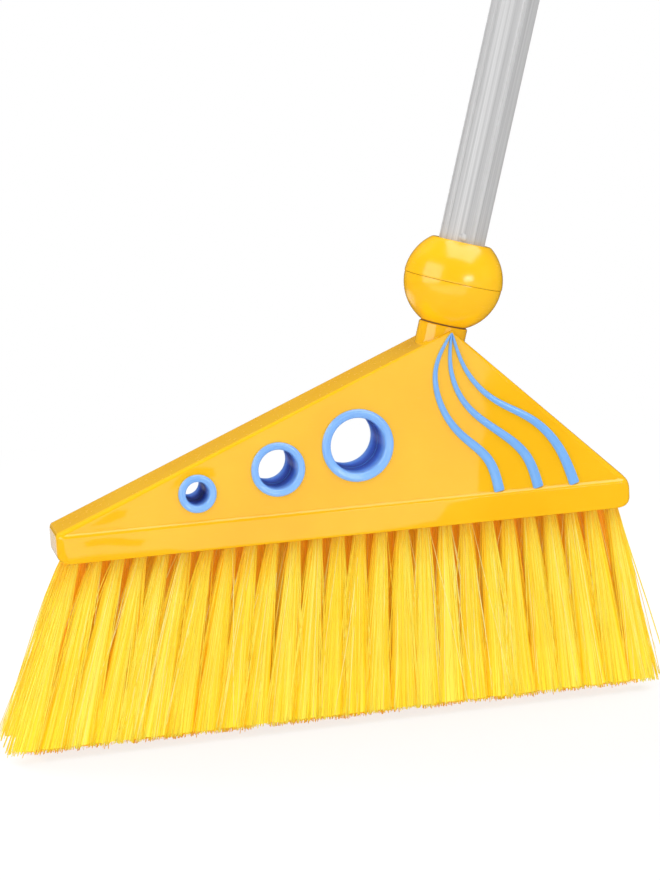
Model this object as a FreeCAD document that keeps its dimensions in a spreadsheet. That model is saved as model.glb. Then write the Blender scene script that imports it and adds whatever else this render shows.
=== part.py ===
import FreeCAD, Part
import math
import os
import Sketcher

Vector = FreeCAD.Vector
Rotation = FreeCAD.Rotation
Placement = FreeCAD.Placement

# Lobby broom: an angled hood over a tuft block with three rows of tufts, and a tube handle
# that screws into the hood's neck through a ball-shaped coupling.
# The origin is the middle of the sweeping edge: X along the hood, Y through it from front to
# back, Z up. Head pieces are drawn from the hood's lower rim and handle pieces from the centre
# of the ball, with Z along the leaning handle.

# Driving dimensions in millimetres, degrees and counts: name, value, what it is
SIZES = [
    ("bristle_drop", 91.0, "height of the hood's rim above the sweeping edge"),
    ("skirt_length", 277.0, "length of the hood's skirt"),
    ("skirt_depth", 32.0, "front to back size of the skirt"),
    ("skirt_rise", 13.5, "height of the skirt"),
    ("skirt_corner", 5.0, "radius of the skirt's upright corners"),
    ("rim_round", 6.0, "radius of the rim's two lower end corners"),
    ("shoulder_round", 9.0, "radius where the steep slope meets the skirt's end"),
    ("ledge", 0.9, "step from the skirt in to the sloping hood"),
    ("hood_wall", 2.2, "wall of the hood"),
    ("apex_rise", 92.3, "height of the peak above the rim"),
    ("apex_trim", 1.2, "how much of the sharp peak is left off"),
    ("apex_offset", 53.7, "distance of the peak from the hood's middle"),
    ("apex_depth", 27.0, "front to back size at the peak"),
    ("hood_edge", 4.0, "radius of the hood's upright corners above the skirt"),
    ("peak_edge", 1.6, "radius of those corners at the peak"),
    ("cavity_reach", 0.86, "share of the hood's height that is hollow"),
    ("rib_thickness", 2.0, "long rib in the middle of the hood"),
    ("snug", 0.2, "clearance between pieces that are pressed together"),
    ("block_inset", 1.4, "height of the tuft block above the rim"),
    ("tuft_pitch", 10.4, "distance between tufts along a row"),
    ("row_margin", 1.9, "block left beside the outer rows' holes"),
    ("end_margin", 2.5, "least block left at the ends of a row"),
    ("tuft_hole", 3.1, "radius of a tuft hole"),
    ("tuft_hole_depth", 9.0, "depth of a tuft hole"),
    ("tuft_round", 2.4, "corner radius of a tuft at its tips"),
    ("root_roundness", 0.8, "share of a tuft's root that is round"),
    ("flare_left", 34.0, "how far the tips of the leftmost tuft lean out"),
    ("flare_right", 12.5, "how far the tips of the rightmost tuft lean out"),
    ("flare_row", 5.6, "how far the tips of the outer rows lean out"),
    ("tip_gap", 0.35, "space between neighbouring tufts at the tips"),
    ("outer_tip_rise", 5.0, "height of the outer rows' tips over the middle row's"),
    ("anchor_thickness", 0.4, "metal strip that holds a tuft"),
    ("anchor_height", 1.6, "height of that strip"),
    ("screw_count", 4, "number of block screws"),
    ("screw_tuft_count", 6, "number of tufts from one block screw to the next"),
    ("screw_shank", 1.25, "radius of a block screw"),
    ("screw_head", 3.0, "radius of its head"),
    ("screw_head_height", 2.0, "height of its head"),
    ("screw_bite", 7.5, "length of the screw in the hood"),
    ("boss_radius", 4.0, "radius of a screw boss"),
    ("boss_roof", 4.5, "height of a screw boss past the screw"),
    ("eyelet_proud", 1.5, "height of an eyelet's rim over the hood"),
    ("eyelet_foot", 0.4, "straight height of the rim's edge"),
    ("eyelet_wall", 1.6, "wall of an eyelet's barrel"),
    ("eyelet_meeting", 0.9, "space between a front and a rear eyelet"),
    ("tunnel_wall", 1.8, "wall of the hood's tunnels"),
    ("tunnel_play", 0.35, "clearance between barrel and tunnel"),
    ("small_offset", -71.9, "place of the small eyelet along the hood"),
    ("small_rise", 26.9, "height of the small eyelet over the rim"),
    ("small_bore", 5.4, "inner radius of the small eyelet"),
    ("small_rim", 3.6, "width of the small eyelet's rim"),
    ("medium_offset", -33.3, "place of the medium eyelet"),
    ("medium_rise", 34.6, "height of the medium eyelet"),
    ("medium_bore", 9.2, "inner radius of the medium eyelet"),
    ("medium_rim", 3.6, "width of the medium eyelet's rim"),
    ("large_offset", 5.3, "place of the large eyelet"),
    ("large_rise", 42.3, "height of the large eyelet"),
    ("large_bore", 12.9, "inner radius of the large eyelet"),
    ("large_rim", 4.3, "width of the large eyelet's rim"),
    ("wave_proud", 1.2, "height of the wave trim over the hood"),
    ("wave_tip_width", 1.5, "width of a wave at the peak"),
    ("wave_foot_width", 5.1, "width of a wave at its foot"),
    ("wave_growth", 0.7, "how early a wave widens: 1 is evenly"),
    ("lean", 15.8, "angle of the handle from upright"),
    ("neck_show", 1.05, "length of the neck's axis that is over the peak"),
    ("neck_shift", -1.0, "place of the neck's axis from the peak, at the peak's height"),
    ("ball_upper", 23.5, "radius of the ball's upper half"),
    ("ball_lower", 23.3, "radius of the ball's lower half"),
    ("ball_wall", 2.2, "wall of the ball"),
    ("ball_top", 18.9, "height of the ball's flat top over its centre"),
    ("ball_bottom", 20.6, "depth of the ball's flat bottom under its centre"),
    ("sleeve_wall", 2.0, "wall of the sleeves inside the ball"),
    ("flange_room", 3.1, "space between the coupling's flange and the ball"),
    ("flange_thickness", 3.0, "thickness of the coupling's flange"),
    ("washer_thickness", 1.0, "rubber washer between ball and neck"),
    ("washer_width", 1.6, "width of the washer's ring"),
    ("neck_radius", 11.65, "outer radius of the neck"),
    ("socket_play", 0.3, "clearance between the thread and the neck"),
    ("socket_end_play", 3.0, "space under the end of the stud"),
    ("thread_radius", 9.2, "outer radius of the coupling's thread"),
    ("shoulder_extra", 0.4, "how far the coupling's shoulder stands over the thread"),
    ("thread_root", 7.9, "radius at the foot of the thread"),
    ("thread_pitch", 5.0, "pitch of the thread"),
    ("thread_turns", 4.0, "turns of thread"),
    ("thread_tip", 2.0, "plain length past the thread"),
    ("thread_crest", 1.1, "width of the thread's crest"),
    ("thread_foot", 2.3, "width of the thread's foot"),
    ("stud_length", 26.0, "length of the coupling's stud"),
    ("stud_core", 4.5, "radius of the hollow in the stud"),
    ("stud_core_depth", 22.0, "depth of the hollow in the stud"),
    ("tube_radius", 11.0, "outer radius of the handle tube"),
    ("tube_wall", 1.2, "wall of the handle tube"),
    ("tube_length", 762.0, "length of the handle tube"),
    ("groove_radius", 1.1, "radius of the tube's lengthwise grooves"),
    ("groove_depth", 0.35, "depth of those grooves"),
    ("groove_count", 5, "number of those grooves"),
    ("groove_turn", 279.5, "direction of the first groove"),
    ("insert_length", 45.0, "length of the coupling inside the tube"),
    ("rivet_rise", 2.3, "height of the rivet over the ball's flat top"),
    ("rivet_shank", 1.5, "radius of the rivet"),
    ("rivet_head", 1.9, "radius of the rivet's head"),
    ("rivet_proud", 0.6, "height of the rivet's head"),
    ("rivet_depth", 5.0, "length of the rivet under its head"),
    ("rivet_turn", 16.0, "direction of the rivet, from the front towards the left"),
    ("cap_wall", 1.8, "wall of the hanging cap"),
    ("cap_grip", 32.0, "length of tube inside the cap"),
    ("cap_roof", 4.0, "closed stretch of the cap over the tube"),
    ("tab_thickness", 8.0, "thickness of the hanging tab"),
    ("tab_rise", 22.0, "height of the hanging hole over the tube's end"),
    ("hang_hole", 5.0, "radius of the hanging hole"),
]

# The three waves, from the peak down to their feet on the skirt. Each pair is a share of the
# run from the peak to the hood's right end, and a share of the slope's height over the skirt.
WAVES = [
    [(-0.012, 0.975), (-0.106, 0.784), (-0.093, 0.580), (0.025, 0.367), (0.173, 0.202), (0.228, 0.012)],
    [(-0.006, 0.965), (-0.022, 0.803), (0.047, 0.567), (0.219, 0.387), (0.395, 0.206), (0.459, 0.012)],
    [(-0.001, 0.975), (0.057, 0.780), (0.215, 0.571), (0.442, 0.420), (0.592, 0.234), (0.673, 0.012)],
]

doc = FreeCAD.newDocument("lobby_broom")
sheet = doc.addObject("Spreadsheet::Sheet", "Sizes")


class Size:
    """A number together with the formula that ties it to the sheet."""

    def __init__(self, value, text):
        self.value = value
        self.text = text

    def __add__(self, other):
        other = size_of(other)
        return Size(self.value + other.value, f"({self.text} + {other.text})")

    def __sub__(self, other):
        other = size_of(other)
        return Size(self.value - other.value, f"({self.text} - {other.text})")

    def __mul__(self, other):
        other = size_of(other)
        return Size(self.value * other.value, f"({self.text} * {other.text})")

    def __truediv__(self, other):
        other = size_of(other)
        return Size(self.value / other.value, f"({self.text} / {other.text})")

    def __neg__(self):
        return Size(-self.value, f"(0 - {self.text})")

    def __radd__(self, other):
        return size_of(other) + self

    def __rsub__(self, other):
        return size_of(other) - self

    def __rmul__(self, other):
        return size_of(other) * self


def size_of(number):
    if isinstance(number, Size):
        return number
    return Size(float(number), repr(float(number)))


def root(size):
    return Size(math.sqrt(size.value), f"sqrt({size.text})")


def angle_of_slope(slope):
    return Size(math.degrees(math.atan(slope.value)), f"atan({slope.text})")


def across_circle(radius, offset):
    """Half the chord of a circle at this distance from its centre."""
    return root(radius * radius - offset * offset)


def sine(angle):
    return Size(math.sin(math.radians(angle.value)), f"sin({angle.text} * 1 deg)")


def cosine(angle):
    return Size(math.cos(math.radians(angle.value)), f"cos({angle.text} * 1 deg)")


class Sizes:
    """Every cell of the sheet, by its alias."""


for row, (alias, value, meaning) in enumerate(SIZES, start=1):
    sheet.set(f"A{row}", meaning)
    sheet.set(f"B{row}", str(value))
    sheet.setAlias(f"B{row}", alias)
    setattr(Sizes, alias, Size(float(value), f"Sizes.{alias}"))
doc.recompute()

S = Sizes

FRONT = -90.0  # direction of the front, in degrees from +X

# Lines and faces of the hood that other pieces follow. Heights are over the rim.
hood_half = S.skirt_length / 2 - S.ledge
slope_rise = S.apex_rise - S.skirt_rise
peak_rise = S.apex_rise - S.apex_trim
left_run = (S.apex_offset + hood_half) / slope_rise
right_run = (hood_half - S.apex_offset) / slope_rise
face_slope = (S.skirt_depth / 2 - S.ledge - S.apex_depth / 2) / (peak_rise - S.skirt_rise)
upright = Size(90.0, "90 deg") - angle_of_slope(face_slope)

# Places along the handle, from the centre of the ball, and radii about it
neck_top = -(S.ball_bottom + S.washer_thickness)
stud_end = neck_top - S.stud_length
socket_end = stud_end - S.socket_end_play
socket_radius = S.thread_radius + S.socket_play
shoulder_radius = S.thread_radius + S.shoulder_extra
insert_radius = S.tube_radius - S.tube_wall - S.snug / 2
flange_top = S.flange_thickness / 2
tube_end = flange_top + S.tube_length
rivet_place = S.ball_top + S.rivet_rise

# Centre of the ball: its place along the hood and its height over the rim
ball_reach = S.neck_show - neck_top
ball_offset = S.apex_offset + S.neck_shift + ball_reach * sine(S.lean)
ball_rise = S.apex_rise + ball_reach * cosine(S.lean)


def face_depth(rise):
    """Distance of the hood's front face from its middle plane."""
    return S.skirt_depth / 2 - S.ledge - (rise - S.skirt_rise) * face_slope


def slope_left(rise):
    return (rise - S.skirt_rise) * left_run - hood_half


def slope_right(rise):
    return hood_half - (rise - S.skirt_rise) * right_run


def bind(item, path, size):
    item.setExpression(path, size_of(size).text)


# The through-holes: place along the hood, height, and the eyelet's inner and outer radius
EYELETS = {
    "small": (S.small_offset, S.small_rise, S.small_bore, S.small_bore + S.small_rim),
    "medium": (S.medium_offset, S.medium_rise, S.medium_bore, S.medium_bore + S.medium_rim),
    "large": (S.large_offset, S.large_rise, S.large_bore, S.large_bore + S.large_rim),
}


def tunnel_radius(bore):
    return bore + S.eyelet_wall + S.tunnel_play


# Sketches and features


def new_body(label, leaning=False):
    body = doc.addObject("PartDesign::Body", label)
    body.Label = label
    if leaning:
        place_on_handle(body)
    else:
        bind(body, ".Placement.Base.z", S.bristle_drop)
    return body


def place_on_handle(item):
    """Puts a piece drawn about the ball's centre on the leaning handle."""
    item.Placement = Placement(Vector(0, 0, 0), Rotation(Vector(0, 1, 0), S.lean.value))
    bind(item, ".Placement.Base.x", ball_offset)
    bind(item, ".Placement.Base.z", S.bristle_drop + ball_rise)
    bind(item, ".Placement.Rotation.Angle", S.lean)


def origin_part(body, role):
    return [item for item in body.Origin.OriginFeatures if item.Role == role][0]


def new_sketch(body, plane, lift=None):
    """A sketch on one of the body's own planes, lifted along that plane's normal."""
    sketch = body.newObject("Sketcher::SketchObject", "Outline")
    sketch.AttachmentSupport = [(origin_part(body, plane), "")]
    sketch.MapMode = "FlatFace"
    if lift is not None:
        bind(sketch, ".AttachmentOffset.Base.z", lift)
    return sketch


def tie_point(sketch, edge, end, across, up, arc_centre=None):
    """Fixes a point of an edge. On an arc one of its two places follows from the other."""
    ties = [("DistanceX", across), ("DistanceY", up)]
    if arc_centre is not None:
        reach_x = abs(size_of(across).value - size_of(arc_centre[0]).value)
        reach_y = abs(size_of(up).value - size_of(arc_centre[1]).value)
        ties = ties[:1] if reach_x < reach_y else ties[1:]
    for kind, place in ties:
        place = size_of(place)
        tie = sketch.addConstraint(Sketcher.Constraint(kind, -1, 1, edge, end, place.value))
        bind(sketch, f"Constraints[{tie}]", place)


def draw_loop(sketch, corners, arcs=None):
    """A closed line through the corners. arcs maps a corner's number to the arc that follows
    it: centre across, centre up, radius and turn, which is 1 where it runs anticlockwise."""
    arcs = arcs or {}
    count = len(corners)
    first = sketch.GeometryCount
    points = [Vector(size_of(across).value, size_of(up).value, 0) for across, up in corners]
    starts = []
    for number in range(count):
        begin = points[number]
        end = points[(number + 1) % count]
        if number not in arcs:
            sketch.addGeometry(Part.LineSegment(begin, end), False)
            starts.append((1, 2))
            continue
        across, up, radius, turn = arcs[number]
        centre = Vector(size_of(across).value, size_of(up).value, 0)
        circle = Part.Circle(centre, Vector(0, 0, 1), size_of(radius).value)
        angle_a = math.atan2(begin.y - centre.y, begin.x - centre.x)
        angle_b = math.atan2(end.y - centre.y, end.x - centre.x)
        if turn < 0:
            angle_a, angle_b = angle_b, angle_a
        sketch.addGeometry(Part.ArcOfCircle(circle, angle_a, angle_b), False)
        starts.append((1, 2) if turn > 0 else (2, 1))
        edge = first + number
        tie_point(sketch, edge, 3, across, up)
        tie = sketch.addConstraint(Sketcher.Constraint("Radius", edge, size_of(radius).value))
        bind(sketch, f"Constraints[{tie}]", radius)
    for number in range(count):
        after = (number + 1) % count
        sketch.addConstraint(
            Sketcher.Constraint(
                "Coincident", first + number, starts[number][1], first + after, starts[after][0]
            )
        )
        arc = arcs.get(number) or arcs.get((number - 1) % count)
        centre = arc[:2] if arc else None
        tie_point(sketch, first + number, starts[number][0], *corners[number], centre)


def draw_circle(sketch, across, up, radius):
    centre = Vector(size_of(across).value, size_of(up).value, 0)
    edge = sketch.addGeometry(Part.Circle(centre, Vector(0, 0, 1), size_of(radius).value), False)
    tie_point(sketch, edge, 3, across, up)
    tie = sketch.addConstraint(Sketcher.Constraint("Radius", edge, size_of(radius).value))
    bind(sketch, f"Constraints[{tie}]", radius)


def draw_rounded_box(sketch, left, right, low, high, radius):
    left, right, low, high = (size_of(side) for side in (left, right, low, high))
    corners = [
        (left + radius, low),
        (right - radius, low),
        (right, low + radius),
        (right, high - radius),
        (right - radius, high),
        (left + radius, high),
        (left, high - radius),
        (left, low + radius),
    ]
    arcs = {
        1: (right - radius, low + radius, radius, 1),
        3: (right - radius, high - radius, radius, 1),
        5: (left + radius, high - radius, radius, 1),
        7: (left + radius, low + radius, radius, 1),
    }
    draw_loop(sketch, corners, arcs)


def extrude(body, kind, sketch, length=None, symmetric=False, reverse=False):
    """A Pad or a Pocket. With no length it runs through everything."""
    feature = body.newObject(f"PartDesign::{kind}", kind)
    feature.Profile = sketch
    if length is None:
        feature.Type = "ThroughAll"
    else:
        bind(feature, "Length", length)
    feature.Midplane = symmetric
    feature.Reversed = reverse
    return feature


def revolve(body, kind, sketch):
    feature = body.newObject(f"PartDesign::{kind}", kind)
    feature.Profile = sketch
    feature.ReferenceAxis = (sketch, ["V_Axis"])
    feature.Angle = 360.0
    return feature


def loft(body, kind, sketches):
    feature = body.newObject(f"PartDesign::{kind}", kind)
    feature.Profile = sketches[0]
    feature.Sections = sketches[1:]
    feature.Ruled = True
    return feature


def turned_body(label, corners, arcs=None):
    """A piece of the handle that is round about the handle's axis."""
    body = new_body(label, leaning=True)
    sketch = new_sketch(body, "XZ_Plane")
    draw_loop(sketch, corners, arcs)
    revolve(body, "Revolution", sketch)
    return body


def new_feature(label, shape, placement=None):
    feature = doc.addObject("Part::Feature", label)
    feature.Label = label
    feature.Shape = shape
    if placement is not None:
        feature.Placement = placement
    return feature


# Hood


def hood_outline(sketch, rise, radius, inset_left=0, inset_right=0, inset_face=0):
    """A level cut through the sloping hood, or through its hollow."""
    depth = face_depth(rise) - inset_face
    left = slope_left(rise) + inset_left
    right = slope_right(rise) - inset_right
    draw_rounded_box(sketch, left, right, -depth, depth, radius)


def leaning_sketch(body):
    """A sketch in the hood's middle plane with its upright axis on the handle's axis."""
    sketch = new_sketch(body, "XZ_Plane")
    sketch.AttachmentOffset = Placement(Vector(0, 0, 0), Rotation(Vector(0, 0, -1), S.lean.value))
    bind(sketch, ".AttachmentOffset.Base.x", ball_offset)
    bind(sketch, ".AttachmentOffset.Base.y", ball_rise)
    bind(sketch, ".AttachmentOffset.Rotation.Angle", S.lean)
    return sketch


def screw_places():
    """Places along the hood of the block screws, which stand in the middle row."""
    count = int(S.screw_count.value)
    return [S.tuft_pitch * S.screw_tuft_count * (number - (count - 1) / 2) for number in range(count)]


def round_rim_corner(body, side):
    """Rounds one lower end corner of the skirt, seen from the front."""
    end = S.skirt_length / 2 * side
    start = end - S.rim_round * side
    past = end + S.rim_round * side
    sketch = new_sketch(body, "XZ_Plane")
    radius = S.rim_round
    corners = [(start, -radius), (past, -radius), (past, radius), (end, radius), (start, 0)]
    draw_loop(sketch, corners, {3: (start, radius, radius, -side)})
    extrude(body, "Pocket", sketch, symmetric=True)


def round_shoulder(body):
    """Rounds the corner between the steep slope and the skirt's right end."""
    end = S.skirt_length / 2
    corner_rise = S.skirt_rise - S.ledge / right_run
    slant = root(right_run * right_run + 1)
    tangent = S.shoulder_round * (slant - 1) / right_run
    touch_low = corner_rise - tangent
    touch_across = end - tangent * right_run / slant
    touch_high = corner_rise + tangent / slant
    past = end + S.shoulder_round
    sketch = new_sketch(body, "XZ_Plane")
    corners = [(end, touch_low), (past, touch_low), (past, touch_high), (touch_across, touch_high)]
    draw_loop(sketch, corners, {3: (end - S.shoulder_round, touch_low, S.shoulder_round, -1)})
    extrude(body, "Pocket", sketch, symmetric=True)


def make_hood():
    body = new_body("hood")
    skirt = new_sketch(body, "XY_Plane")
    half = S.skirt_length / 2
    draw_rounded_box(skirt, -half, half, -S.skirt_depth / 2, S.skirt_depth / 2, S.skirt_corner)
    extrude(body, "Pad", skirt, S.skirt_rise)

    foot = new_sketch(body, "XY_Plane", S.skirt_rise)
    hood_outline(foot, S.skirt_rise, S.hood_edge)
    peak = new_sketch(body, "XY_Plane", peak_rise)
    hood_outline(peak, peak_rise, S.peak_edge)
    loft(body, "AdditiveLoft", [foot, peak])

    recess = new_sketch(body, "XY_Plane")
    inner_corner = S.skirt_corner - S.hood_wall
    inner_depth = S.skirt_depth / 2 - S.hood_wall
    inner_half = half - S.hood_wall
    draw_rounded_box(recess, -inner_half, inner_half, -inner_depth, inner_depth, inner_corner)
    extrude(body, "Pocket", recess, S.skirt_rise, reverse=True)

    wall_left = S.hood_wall * root(left_run * left_run + 1)
    wall_right = S.hood_wall * root(right_run * right_run + 1)
    hollow_rise = S.skirt_rise + slope_rise * S.cavity_reach
    hollow_foot = new_sketch(body, "XY_Plane", S.skirt_rise)
    hood_outline(hollow_foot, S.skirt_rise, S.hood_edge - S.hood_wall, wall_left, wall_right, S.hood_wall)
    hollow_peak = new_sketch(body, "XY_Plane", hollow_rise)
    hood_outline(hollow_peak, hollow_rise, S.peak_edge / 2, wall_left, wall_right, S.hood_wall)
    loft(body, "SubtractiveLoft", [hollow_foot, hollow_peak])

    rib = new_sketch(body, "XZ_Plane")
    corners = [
        (slope_left(S.skirt_rise) + wall_left / 2, S.skirt_rise),
        (slope_right(S.skirt_rise) - wall_right / 2, S.skirt_rise),
        (slope_right(hollow_rise) - wall_right / 2, hollow_rise),
        (slope_left(hollow_rise) + wall_left / 2, hollow_rise),
    ]
    draw_loop(rib, corners)
    extrude(body, "Pad", rib, S.rib_thickness, symmetric=True)

    bosses = new_sketch(body, "XY_Plane", S.skirt_rise)
    for place in screw_places():
        draw_circle(bosses, place, 0, S.boss_radius)
    extrude(body, "Pad", bosses, S.screw_bite + S.boss_roof)

    for offset, rise, bore, rim in EYELETS.values():
        tunnel = new_sketch(body, "XZ_Plane")
        draw_circle(tunnel, offset, rise, tunnel_radius(bore) + S.tunnel_wall)
        embedded = face_depth(rise) - S.hood_wall / 2
        extrude(body, "Pad", tunnel, embedded * 2, symmetric=True)

    neck = leaning_sketch(body)
    neck_end = socket_end - S.hood_wall
    draw_loop(neck, [(0, neck_end), (S.neck_radius, neck_end), (S.neck_radius, neck_top), (0, neck_top)])
    revolve(body, "Revolution", neck)

    holes = new_sketch(body, "XZ_Plane")
    for offset, rise, bore, rim in EYELETS.values():
        draw_circle(holes, offset, rise, tunnel_radius(bore))
    extrude(body, "Pocket", holes, symmetric=True)

    socket = leaning_sketch(body)
    over = neck_top + S.hood_wall
    draw_loop(socket, [(0, socket_end), (socket_radius, socket_end), (socket_radius, over), (0, over)])
    revolve(body, "Groove", socket)

    pilots = new_sketch(body, "XY_Plane", S.skirt_rise)
    for place in screw_places():
        draw_circle(pilots, place, 0, S.screw_shank + S.snug / 4)
    extrude(body, "Pocket", pilots, S.screw_bite + S.snug, reverse=True)

    round_rim_corner(body, -1)
    round_rim_corner(body, 1)
    round_shoulder(body)
    return body


# Eyelets: one pressed in from the front and one from the rear of each tunnel


def place_on_face(item, offset, rise, side):
    """Stands a piece on the hood's front face (side -1) or rear face (side 1)."""
    axis = Vector(-side, 0, 0)
    item.Placement = Placement(Vector(0, 0, 0), Rotation(axis, upright.value))
    bind(item, ".Placement.Base.x", offset)
    bind(item, ".Placement.Base.y", face_depth(rise) * side)
    bind(item, ".Placement.Base.z", S.bristle_drop + rise)
    bind(item, ".Placement.Rotation.Angle", upright)


def make_eyelet(label, offset, rise, bore, rim, side):
    body = doc.addObject("PartDesign::Body", label)
    body.Label = label
    place_on_face(body, offset, rise, side)
    sketch = new_sketch(body, "XZ_Plane")
    barrel = bore + S.eyelet_wall
    length = face_depth(rise) - S.eyelet_meeting / 2
    half_width = (rim - bore) / 2
    middle = bore + half_width
    crown = S.eyelet_proud - S.eyelet_foot
    crown_radius = (half_width * half_width + crown * crown) / (crown * 2)
    centre_up = S.eyelet_proud - crown_radius
    corners = [
        (bore, -length),
        (barrel, -length),
        (barrel, 0),
        (rim, 0),
        (rim, S.eyelet_foot),
        (bore, S.eyelet_foot),
    ]
    draw_loop(sketch, corners, {4: (middle, centre_up, crown_radius, 1)})
    revolve(body, "Revolution", sketch)
    return body


# Waves


def wave_outline(points, tip_width, foot_width):
    """The face of one wave: a band along a smooth line that widens towards its foot."""
    middle = Part.BSplineCurve()
    middle.interpolate(points)
    steps = 2 * (len(points) - 1)
    left_side = []
    right_side = []
    for step in range(steps + 1):
        share = step / steps
        place = middle.FirstParameter + share * (middle.LastParameter - middle.FirstParameter)
        centre = middle.value(place)
        along = middle.tangent(place)[0]
        aside = Vector(-along.y, along.x, 0)
        half = (tip_width + (foot_width - tip_width) * share ** S.wave_growth.value) / 2
        left_side.append(centre + aside * half)
        right_side.append(centre - aside * half)
    edges = []
    for side in (left_side, list(reversed(right_side))):
        curve = Part.BSplineCurve()
        curve.interpolate(side)
        edges.append(curve.toShape())
    edges.insert(1, Part.makeLine(left_side[-1], right_side[-1]))
    edges.append(Part.makeLine(right_side[0], left_side[0]))
    return Part.Face(Part.Wire(edges))


def make_waves():
    """Both wave trims, drawn in the plane of the front face with its lower edge at zero."""
    run = hood_half.value - S.apex_offset.value
    slant = math.hypot(1.0, face_slope.value) * slope_rise.value
    solid = None
    for wave in WAVES:
        points = [Vector(S.apex_offset.value + run * along, slant * up, 0) for along, up in wave]
        face = wave_outline(points, S.wave_tip_width.value, S.wave_foot_width.value)
        strip = face.extrude(Vector(0, 0, S.wave_proud.value))
        solid = strip if solid is None else solid.fuse(strip)
    solid = solid.removeSplitter()
    depth = face_depth(S.skirt_rise).value
    placement = Placement(
        Vector(0, -depth, S.bristle_drop.value + S.skirt_rise.value),
        Rotation(Vector(1, 0, 0), upright.value),
    )
    front = solid.copy()
    front.Placement = placement
    rear = front.mirror(Vector(0, 0, 0), Vector(0, 1, 0))
    new_feature("front_waves", front)
    new_feature("rear_waves", rear)


# Tuft block, tufts and anchors

block_half = S.skirt_length / 2 - S.hood_wall - S.snug
block_depth = S.skirt_depth / 2 - S.hood_wall - S.snug
row_pitch = block_depth - S.tuft_hole - S.row_margin
hole_top = S.block_inset + S.tuft_hole_depth
row_room = 2 * (block_half - S.tuft_hole - S.end_margin)
outer_tufts = math.floor(row_room.value / S.tuft_pitch.value) + 1
tuft_reach = S.tuft_pitch * (outer_tufts - 1) / 2


def row_places(row):
    """Places along the hood of a row's tufts: row -1 at the front, 0 in the middle, 1 behind.
    The middle row stands between the others, and leaves out a tuft at each screw."""
    if row != 0:
        return [S.tuft_pitch * number - tuft_reach for number in range(outer_tufts)]
    places = [S.tuft_pitch * (number + 0.5) - tuft_reach for number in range(outer_tufts - 1)]
    screws = [place.value for place in screw_places()]
    room = S.screw_head.value + S.tuft_hole.value
    return [place for place in places if all(abs(place.value - screw) > room for screw in screws)]


def make_tuft_block():
    body = new_body("tuft_block")
    plan = new_sketch(body, "XY_Plane", S.block_inset)
    corner = S.rim_round
    draw_rounded_box(plan, -block_half, block_half, -block_depth, block_depth, corner)
    extrude(body, "Pad", plan, S.skirt_rise - S.block_inset)
    for row in (-1, 0, 1):
        holes = new_sketch(body, "XY_Plane", S.block_inset)
        for place in row_places(row):
            draw_circle(holes, place, row_pitch * row, S.tuft_hole)
        extrude(body, "Pocket", holes, S.tuft_hole_depth, reverse=True)
    shanks = new_sketch(body, "XY_Plane", S.block_inset)
    heads = new_sketch(body, "XY_Plane", S.block_inset)
    for place in screw_places():
        draw_circle(shanks, place, 0, S.screw_shank + S.snug)
        draw_circle(heads, place, 0, S.screw_head + S.snug)
    extrude(body, "Pocket", shanks, S.skirt_rise, reverse=True)
    extrude(body, "Pocket", heads, S.screw_head_height + S.snug, reverse=True)
    return body


def make_screws():
    seat = S.block_inset + S.screw_head_height + S.snug
    length = S.skirt_rise + S.screw_bite - seat
    body = new_body("block_screws")
    sketch = new_sketch(body, "XZ_Plane")
    corners = [
        (0, seat - S.screw_head_height),
        (S.screw_head, seat - S.screw_head_height),
        (S.screw_head, seat),
        (S.screw_shank, seat),
        (S.screw_shank, seat + length),
        (0, seat + length),
    ]
    draw_loop(sketch, corners)
    screw = revolve(body, "Revolution", sketch)
    places = screw_places()
    bind(body, ".Placement.Base.x", places[0])
    row = body.newObject("PartDesign::LinearPattern", "Row")
    row.Originals = [screw]
    row.Direction = (origin_part(body, "X_Axis"), [""])
    bind(row, "Length", places[-1] - places[0])
    row.Occurrences = len(places)
    body.Tip = row
    return body


def tuft_section(centre, half_x, half_y, radius):
    """A rounded box as a wire of four lines and four arcs, at the height of its centre."""
    arcs = []
    for quarter, (right, back) in enumerate([(1, 1), (-1, 1), (-1, -1), (1, -1)]):
        middle = centre + Vector((half_x - radius) * right, (half_y - radius) * back, 0)
        points = []
        for turn in (0, 0.5, 1):
            angle = (quarter + turn) * math.pi / 2
            points.append(middle + Vector(math.cos(angle), math.sin(angle), 0) * radius)
        arcs.append(points)
    edges = []
    for number, points in enumerate(arcs):
        edges.append(Part.Arc(*points).toShape())
        edges.append(Part.makeLine(points[-1], arcs[(number + 1) % 4][0]))
    return Part.Wire(edges)


def tip_place(place):
    """Where a tuft's tips stand along the hood: the ends of a row lean out the most."""
    reach = tuft_reach.value
    share = (place + reach) / (2 * reach)
    return place - S.flare_left.value * (1 - share) + S.flare_right.value * share


def make_tufts(label, row):
    """One row: each tuft stands straight in its hole and widens from the block to its tips."""
    root_rise = S.bristle_drop.value + hole_top.value - S.anchor_height.value - S.snug.value
    mouth_rise = S.bristle_drop.value + S.block_inset.value
    root_reach = S.tuft_hole.value - S.snug.value / 2
    root_round = root_reach * S.root_roundness.value
    root_half = root_round + (root_reach - root_round) / math.sqrt(2)
    root_row = row_pitch.value * row
    tip_rise = S.outer_tip_rise.value * abs(row)
    tip_row = root_row + S.flare_row.value * row
    tip_pitch = (tip_place(tuft_reach.value) - tip_place(-tuft_reach.value)) / (outer_tufts - 1)
    tip_half = (tip_pitch - S.tip_gap.value) / 2
    tip_depth = (row_pitch.value + S.flare_row.value - S.tip_gap.value) / 2
    tufts = []
    for place in row_places(row):
        hole = Vector(place.value, root_row, root_rise)
        mouth = Vector(place.value, root_row, mouth_rise)
        tip = Vector(tip_place(place.value), tip_row, tip_rise)
        sections = [
            tuft_section(hole, root_half, root_half, root_round),
            tuft_section(mouth, root_half, root_half, root_round),
            tuft_section(tip, tip_half, tip_depth, S.tuft_round.value),
        ]
        tufts.append(Part.makeLoft(sections, True, True))
    new_feature(label, Part.makeCompound(tufts))


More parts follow.
